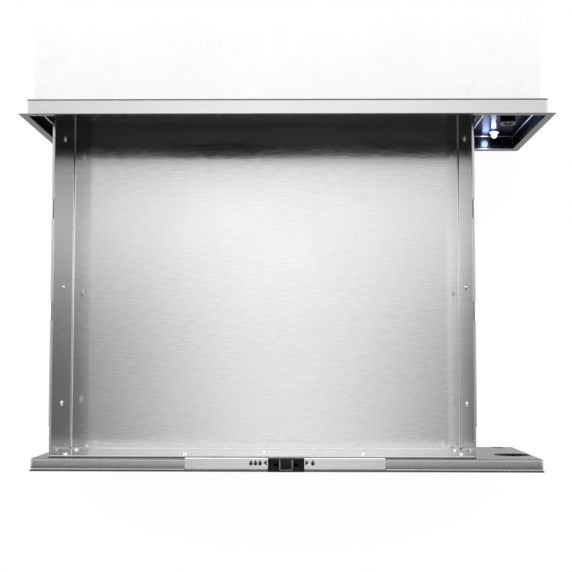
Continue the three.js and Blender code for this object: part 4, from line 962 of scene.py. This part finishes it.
class DRAWER_OT_dial(bpy.types.Operator):
    """Print the scale round the knob: eleven ticks over 270 degrees, growing from a dot to a bar"""

    bl_idname = "drawer.dial"
    bl_label = "Dial scale"
    bl_options = {"REGISTER", "UNDO"}

    def execute(self, context):
        at, wall = middle("control_knob"), high("lamp_bezel")[1] + SEAT
        start, half = 18.6 * MM, 0.45 * MM  # from the knob's axis to a tick, and half a tick's width
        shortest, growth, apart = 1.2, 0.28, 27  # mm, mm from tick to tick, and degrees from tick to tick
        ticks = []
        for k in range(11):
            turn, stop = math.radians(90 - apart * k), start + (shortest + growth * k) * MM
            u, v = box_outline(start, stop, -half, half, 0.4 * MM).T
            x, z = u * math.cos(turn) - v * math.sin(turn), u * math.sin(turn) + v * math.cos(turn)
            outline = points_at(at[0] + x, at[2] + z)
            ticks.append(on_wall(slab(outline, -0.05 * MM, 0.06 * MM, 0.03 * MM, 2), wall))
        make_piece("dial_scale", joined(ticks), "housing", "pale_print")
        return {"FINISHED"}


class DRAWER_OT_folds(bpy.types.Operator):
    """Add the sill's lip, painted brighter than the steel, the recess's inside folds that show, and a dark
    strip of painted shade along the collar's rear edge
    """

    bl_idname = "drawer.folds"
    bl_label = "Recess folds"
    bl_options = {"REGISTER", "UNDO"}

    def execute(self, context):
        sizes = context.scene.drawer_sizes
        (x0, y0, z0), (x1, y1, z1) = low("collar"), high("collar")
        t, r, sunk = sizes.sheet, 1.3 * MM, 0.2 * sizes.sheet
        wall, floor, inner = high("lamp_bezel")[1] + SEAT, z0 + t, x1 - t

        edge, past_recess = low("trim_bottom")[1] + 1.2 * MM, 6 * MM
        lip = bead_outline(edge, high("trim_bottom")[2], 1.1 * MM, 0.6 * MM, sunk)
        shape = swept(lip, [-inner - past_recess, inner + past_recess], "x")
        # The lip is in a lit copy of the steel, a painted highlight.
        make_piece("sill_lip", shape, "housing", "lit_lip_steel", 40)

        def strip(corner, ways, start, stop):
            """An arc between two faces, corner + ways * r * (1 - sin a, 1 - cos a), closed at the corner."""
            a, corner, ways = np.linspace(0, math.pi / 2, 6), np.array(corner), np.array(ways)
            arc = points_at(1 - np.sin(a), 1 - np.cos(a)) * r * ways
            return swept(np.concatenate([corner + arc, [corner - sunk * ways]]), [start, stop], "x")

        liner_right = high("cavity_liner")[0]
        floor_start, bead_place = liner_right + 4 * MM, liner_right + 8.2 * MM
        parts = [strip((wall, floor), (-1, 1), floor_start, inner)]
        parts += [on_end(strip((wall, x), (-1, way), floor, z1 - t)) for x, way in ((inner, -1), (-inner, 1))]
        # A bead on the control wall, beside the cavity's mouth.
        a = np.linspace(0, math.pi, 9)
        bead = points_at(wall - sizes.bead * np.sin(a), bead_place + sizes.bead * np.cos(a))
        parts.append(on_end(swept(np.concatenate([bead, bead[[-1, 0]] + (sunk, 0)]), [floor, z1 - t], "x")))
        make_piece("recess_folds", joined(parts), "housing", "slide_zinc", 40)

        # Painted shade: a dark strip on the collar's rear edge, where there is only the shadow of the gap
        # behind it.
        shadow_strip = box_outline(x0 + 0.8 * MM, x1 - 0.8 * MM, y1 - 2.2 * MM, y1 - 0.3 * MM, 0.4 * MM)
        shape = slab(shadow_strip, z1 - 0.2 * MM, z1 + 0.4 * MM, 0.2 * MM)
        make_piece("collar_shadow_strip", shape, "housing", "trim_steel", 40)
        return {"FINISHED"}


class DRAWER_OT_lips(bpy.types.Operator):
    """Roll the front fold of the legend strip, and lay the bead along the front box's upper fold"""

    bl_idname = "drawer.lips"
    bl_label = "Front folds"
    bl_options = {"REGISTER", "UNDO"}

    def execute(self, context):
        (x0, y0, z0), (x1, y1, z1) = low("legend_strip"), high("legend_strip")
        bezel0, bezel1 = low("slider_bezel")[0] - 0.3 * MM, high("slider_bezel")[0] + 0.3 * MM
        r, flat, under = 1.5 * MM, 1.2 * MM, y0 + 0.3 * MM
        a = np.linspace(0, math.pi / 2, 8)
        arc = points_at(y0 - flat - r * np.sin(a), z1 - r + r * np.cos(a))
        outline = np.concatenate([[[under, z1 - 0.02 * MM]], arc, [[under, z1 - r]]])
        spans = ((x0 + 0.2 * MM, bezel0), (bezel1, x1 - 0.2 * MM))
        shape = joined([swept(outline, span, "x") for span in spans])
        make_piece("strip_roll", shape, "drawer", "strip_steel", 40)

        left, right = low("panel_box")[0] + 0.6 * MM, high("panel_box")[0] - 0.6 * MM
        r = context.scene.drawer_sizes.bead
        outline = bead_outline(low("panel_box")[1] + r, high("panel_box")[2], r, r, 0.2 * MM)
        shape = joined([swept(outline, span, "x") for span in ((left, x0 - 0.8 * MM), (x1 + 0.8 * MM, right))])
        # The bead is in a shaded copy of the stainless, painted shade.
        make_piece("front_bead", shape, "drawer", "shaded_bead_steel", 40)
        return {"FINISHED"}


class DRAWER_OT_lamp(bpy.types.Operator):
    """Turn the lamp's lens and its flange"""

    bl_idname = "drawer.lamp"
    bl_label = "Pilot lamp"
    bl_options = {"REGISTER", "UNDO"}

    def execute(self, context):
        at, tip, base = middle("lamp_lens"), low("lamp_lens")[1], high("lamp_lens")[1]
        radius, outer = radius_of("lamp_lens"), radius_of("lamp_bezel")
        y0, y1 = high("lamp_bezel")[1], low("lamp_bezel")[1]
        ear, waist, inner, seat = radius + 1.9 * MM, radius - 0.6 * MM, radius + 0.2 * MM, y1 - base

        # Rows of a radius and a place along Y; the round end is (w cos t, w - w sin t) behind the tip.
        t = np.linspace(0, math.pi / 2, 9)[:-1]
        rows = [
            steps_from((0, 0), [(4.0, 0), (4.6, -0.4)]),
            steps_from((0, seat), [(4.6, 1.6), (4.6, -0.1)]),
            steps_from((ear, seat), [(-0.5, -0.1), (0, -0.5), (0, -1.1), (-0.8, -1.7)]),
            steps_from((waist, seat), [(0.2, -2.3)]),
            points_at(waist * np.cos(t), tip + waist - base - waist * np.sin(t)),
            steps_from((0, tip - base), [(0.05, 0)]),
        ]
        shape = turned(np.concatenate(rows), (at[0], base, at[2]), 40)
        lens = make_piece("lamp_dome", shape, "housing", "lamp", 40)
        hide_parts("lamp_lens")

        rows = [
            steps_from((inner, y0), [(0, 0)]), steps_from((outer, y0), [(-0.1, 0), (0, -0.1)]),
            steps_from((outer, y1), [(0, 0.7), (-0.3, 0.2), (-0.9, 0)]),
            steps_from((inner, y1), [(0.3, 0), (0, 0.3)]),
        ]
        shape = turned(np.concatenate(rows), (at[0], 0.0, at[2]), 48, ring=True)
        ring = make_piece("lamp_flange", shape, "housing", "chrome", 50)
        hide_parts("lamp_bezel")
        return {"FINISHED"}


class DRAWER_OT_slider(bpy.types.Operator):
    """Mould the moisture slider: a ribbed cap with a raised pale edge on three sides"""

    bl_idname = "drawer.slider"
    bl_label = "Moisture slider"
    bl_options = {"REGISTER", "UNDO"}

    def execute(self, context):
        (x0, y0, z0), (x1, y1, z1) = low("slider_knob"), high("slider_knob")
        m, pitch = MM, 2.2 * MM
        back, front = y1 + 2.4 * m, y0 - 2.2 * m
        stem = slab(box_outline(x0 + 0.3 * m, x1 - 0.3 * m, y0, y1, 1.0 * m), z1 - 3.2 * m, z1, 0.2 * m)
        plate = slab(box_outline(x0, x1, front, back, 0.9 * m), z1 - 0.4 * m, z1 + 0.35 * m, 0.3 * m)
        foot = slab(box_outline(-4 * m, 4 * m, y0 + 3.4 * m, y0 + 7.0 * m, 0.3 * m), z0, z1 - 2.9 * m, 0.1 * m)
        ribs = []
        for x in (-2 * pitch, -pitch, 0, pitch, 2 * pitch):
            outline = box_outline(x - 0.5 * m, x + 0.5 * m, front + 3.4 * m, back - 1.6 * m, 0.45 * m)
            ribs.append(slab(outline, z1, z1 + 0.75 * m, 0.35 * m))
        shape = joined([stem, plate, foot, *ribs])
        cap = make_piece("slider_cap", shape, "moisture_slider", "black_plastic", 40)
        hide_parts("slider_knob")

        left, right, near, far = x0 + 1.4 * m, x1 - 1.4 * m, front + 1.4 * m, back - 0.5 * m
        line = rounded_line([(left, far), (left, near), (right, near), (right, far)], 1.0 * m, 6)
        shape = swept(sheet_outline(line, 1.7 * m), (z1 + 0.2 * m, z1 + 0.6 * m), "z")
        make_piece("slider_edge", shape, "moisture_slider", "grey_edge")
        return {"FINISHED"}


class DRAWER_OT_marks(bpy.types.Operator):
    """Print the marks beside the slider: an arrow each way, three drops for moist and one for dry"""

    bl_idname = "drawer.marks"
    bl_label = "Slider marks"
    bl_options = {"REGISTER", "UNDO"}

    def execute(self, context):
        tall = context.scene.drawer_sizes.mark
        top, y = high("legend_strip")[2], middle("legend_strip")[1] + 0.6 * MM
        edge_left, edge_right = low("slider_bezel")[0], high("slider_bezel")[0]
        shapes = []
        for edge, way in ((edge_left, -1), (edge_right, 1)):
            foot, tip = edge + way * 1.6 * MM, edge + way * (1.6 * MM + tall * 0.6)
            shapes.append(np.array([(foot, y - tall / 2), (tip, y), (foot, y + tall / 2)])[::way])
        # A drop is (0.46 sin t sin(t / 2) ^ 1.4, 0.5 cos t) times its height.
        t = around(24)
        drop = points_at(0.46 * np.sin(t) * np.sin(t / 2) ** 1.4, 0.5 * np.cos(t)) * tall
        for x in (edge_left - 11 * MM, edge_left - 17.4 * MM, edge_left - 23.8 * MM, edge_right + 12 * MM):
            shapes.append(drop + (x, y))
        ink = 0.05 * MM
        marks = [slab(shape, top - ink, top + ink, 0.02 * MM, 2) for shape in shapes]
        make_piece("slider_marks", joined(marks), "drawer", "ink")
        return {"FINISHED"}


class DRAWER_OT_loom(bpy.types.Operator):
    """Lay the braided wiring loom along its duct"""

    bl_idname = "drawer.loom"
    bl_label = "Wiring loom"
    bl_options = {"REGISTER", "UNDO"}

    def execute(self, context):
        (x0, y0, z0), (x1, y1, z1) = low("wiring_loom"), high("wiring_loom")
        rings, sides, radius, inset, bend = 160, 16, 4.4 * MM, 4.5 * MM, 24 * MM
        top, bottom, slope_start, slope_stop = z1 - inset, z0 + inset, y0 + 50 * MM, y0 + 106 * MM
        line = rounded_line([(y0, top), (slope_start, top), (slope_stop, bottom), (y1, bottom)], bend, 8)
        travelled = np.concatenate([[0], np.cumsum(np.linalg.norm(np.diff(line, axis=0), axis=1))])
        even = np.linspace(0, travelled[-1], rings)
        y, z = (np.interp(even, travelled, part) for part in line.T)
        shape = tube(points_at(np.full(rings, (x0 + x1) / 2), y, z), radius, sides)
        loom = make_piece("braided_loom", shape, "housing", "wire_sleeve", outwards=False)

        # The braid's map: the share of a turn round the sleeve, and metres along it.
        corner = np.empty(len(loom.data.loops), int)
        loom.data.loops.foreach_get("vertex_index", corner)
        ring, spoke = np.divmod(corner, sides)
        braid = loom.data.uv_layers.new(name="braid")
        braid.data.foreach_set("uv", points_at(spoke / sides, even[ring]).ravel())
        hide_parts("wiring_loom")
        return {"FINISHED"}


def make_world(scene, studio):
    """A soft light above and behind, a dim ceiling, and a white horizon that is dark in front.
    With (x, y, z) the direction: L = overhead * level(y) * exp(-width(y) * w * w) + white(y, z) * fade(z),
    where w = min(|x + 0.015|, 0.2), level and width are curves through the stops below, white is the larger
    of a step up toward the back and a step down from the horizon's foot, and fade falls to the ceiling."""
    world = bpy.data.worlds.new("studio")
    scene.world = world
    world.use_nodes = True
    n = Nodes(world.node_tree)
    most_level, most_width = 1.5, 50.0
    stops = [  # the direction's y, the light's level there, and how fast it falls off sideways
        (-0.5, 0.04, 40.0), (-0.3, 0.05, 40.0), (-0.25, 0.08, 42.0), (-0.2, 0.2, 42.0), (-0.15, 0.45, 42.0),
        (-0.1, 0.88, 41.0), (-0.05, 1.0, 37.0), (-0.016, 0.99, 33.5), (0.019, 1.02, 31.0), (0.0545, 1.1, 24.5),
        (0.09, 1.18, 17.0), (0.117, 1.24, 13.0), (0.144, 1.25, 12.5), (0.158, 1.18, 14.5), (0.168, 0.95, 17.0),
        (0.178, 0.5, 18.0), (0.188, 0.25, 16.0), (0.198, 0.3, 13.0), (0.208, 0.8, 9.0), (0.22, 1.34, 6.5),
        (0.26, 1.36, 2.5), (0.35, 1.25, 1.5), (0.5, 1.0, 1.5), (0.7, 0.7, 1.5),
    ]
    x, y, z = n.add("ShaderNodeSeparateXYZ", {0: n.add("ShaderNodeTexCoord").outputs["Generated"]}).outputs
    curve = n.profile(y, [(at, level / most_level, width / most_width, 0.0) for at, level, width in stops])
    level, width, _ = n.add("ShaderNodeSeparateColor", {0: curve}).outputs
    aside = n.work(n.work(n.work(x, 0.015), 0.0, "ABSOLUTE"), 0.2, "MINIMUM")
    fall = n.work(n.work(aside, aside, "MULTIPLY"), n.work(width, -most_width, "MULTIPLY"), "MULTIPLY")
    pool = n.work(n.work(fall, 0.0, "EXPONENT"), n.work(level, most_level, "MULTIPLY"), "MULTIPLY")
    behind = n.spread(y, 0.12, 1.0, -0.35, -0.1, "SMOOTHSTEP")
    foot = n.spread(z, 1.0, 0.12, 0.08, 0.3, "SMOOTHSTEP")
    fade = n.spread(z, 1.0, studio.ceiling, 0.58, 0.96, "SMOOTHSTEP")
    horizon = n.work(fade, n.work(behind, foot, "MAXIMUM"), "MULTIPLY")
    back = n.nodes["Background"]
    back.inputs["Color"].default_value = (1, 1, 1, 1)
    n.links.new(n.work(n.work(pool, studio.overhead, "MULTIPLY"), horizon), back.inputs["Strength"])


class DRAWER_OT_stage(bpy.types.Operator):
    """Set the floor, the light and the camera"""

    bl_idname = "drawer.stage"
    bl_label = "Stage"
    bl_options = {"REGISTER", "UNDO"}

    def execute(self, context):
        scene, studio = context.scene, context.scene.drawer_studio
        half, level = 40.0, CAD_BOX[0][2] - studio.gap
        mesh = bpy.data.meshes.new("studio_floor")
        corners = [(-half, -half, level), (half, -half, level), (half, half, level), (-half, half, level)]
        mesh.from_pydata(corners, [], [(0, 1, 2, 3)])
        floor_paper("floor_paper")
        mesh.materials.append(MATERIALS["floor_paper"])
        floor = bpy.data.objects.new("studio_floor", mesh)
        scene.collection.objects.link(floor)

        make_world(scene, studio)

        # The lamp's glow on the recess: a name, watts, millimetres from the lens's tip, and a size in mm.
        x, _, z = middle("lamp_lens")
        tip = low("lamp_lens")[1]
        spots = (("pilot_glow", 0.024, (-1.8, 4.8, 6.5), 4.0), ("pilot_spill", 0.022, (-7.1, 0.6, -36.0), 6.0))
        for name, watts, away, size in spots:
            lamp = bpy.data.lights.new(name, "POINT")
            lamp.color = tuple(context.scene.drawer_finish.lamp)
            lamp.energy = watts
            lamp.shadow_soft_size = size * MM
            glow = bpy.data.objects.new(name, lamp)
            glow.location = steps_from((x, tip, z), away)
            scene.collection.objects.link(glow)

        camera = bpy.data.objects.new("camera", bpy.data.cameras.new("camera"))
        camera.data.lens = studio.lens
        camera.data.sensor_width = 36.0
        camera.data.clip_start = 0.01
        # The place and the tilt are fitted to points of the photo.
        camera.location = (0.0223, -0.6543, 1.856)
        camera.rotation_euler = (0.0669, 0.0142, 0.0015)
        scene.collection.objects.link(camera)
        scene.camera = camera
        scene.view_settings.view_transform = "Standard"
        return {"FINISHED"}


class DRAWER_PT_panel(bpy.types.Panel):
    """Lists the drawer's operators in the sidebar."""

    bl_idname = "DRAWER_PT_panel"
    bl_label = "Warming drawer"
    bl_space_type = "VIEW_3D"
    bl_region_type = "UI"
    bl_category = "Drawer"

    def draw(self, context):
        for step in STEPS:
            self.layout.operator(step.bl_idname)


STEPS = [
    DRAWER_OT_materials, DRAWER_OT_edges, DRAWER_OT_pan, DRAWER_OT_rivets, DRAWER_OT_screws,
    DRAWER_OT_knob, DRAWER_OT_dial, DRAWER_OT_folds, DRAWER_OT_lips, DRAWER_OT_lamp,
    DRAWER_OT_slider, DRAWER_OT_marks, DRAWER_OT_loom, DRAWER_OT_stage,
]
CLASSES = [DrawerSizes, DrawerFinish, DrawerStudio, *STEPS, DRAWER_PT_panel]


def register():
    for cls in CLASSES:
        bpy.utils.register_class(cls)
    bpy.types.Scene.drawer_sizes = bpy.props.PointerProperty(type=DrawerSizes)
    bpy.types.Scene.drawer_finish = bpy.props.PointerProperty(type=DrawerFinish)
    bpy.types.Scene.drawer_studio = bpy.props.PointerProperty(type=DrawerStudio)


def unregister():
    del bpy.types.Scene.drawer_sizes, bpy.types.Scene.drawer_finish, bpy.types.Scene.drawer_studio
    for cls in reversed(CLASSES):
        bpy.utils.unregister_class(cls)


def main():
    register()
    for step in STEPS:
        group, name = step.bl_idname.split(".")
        getattr(getattr(bpy.ops, group), name)()


if __name__ == "__main__":
    main()
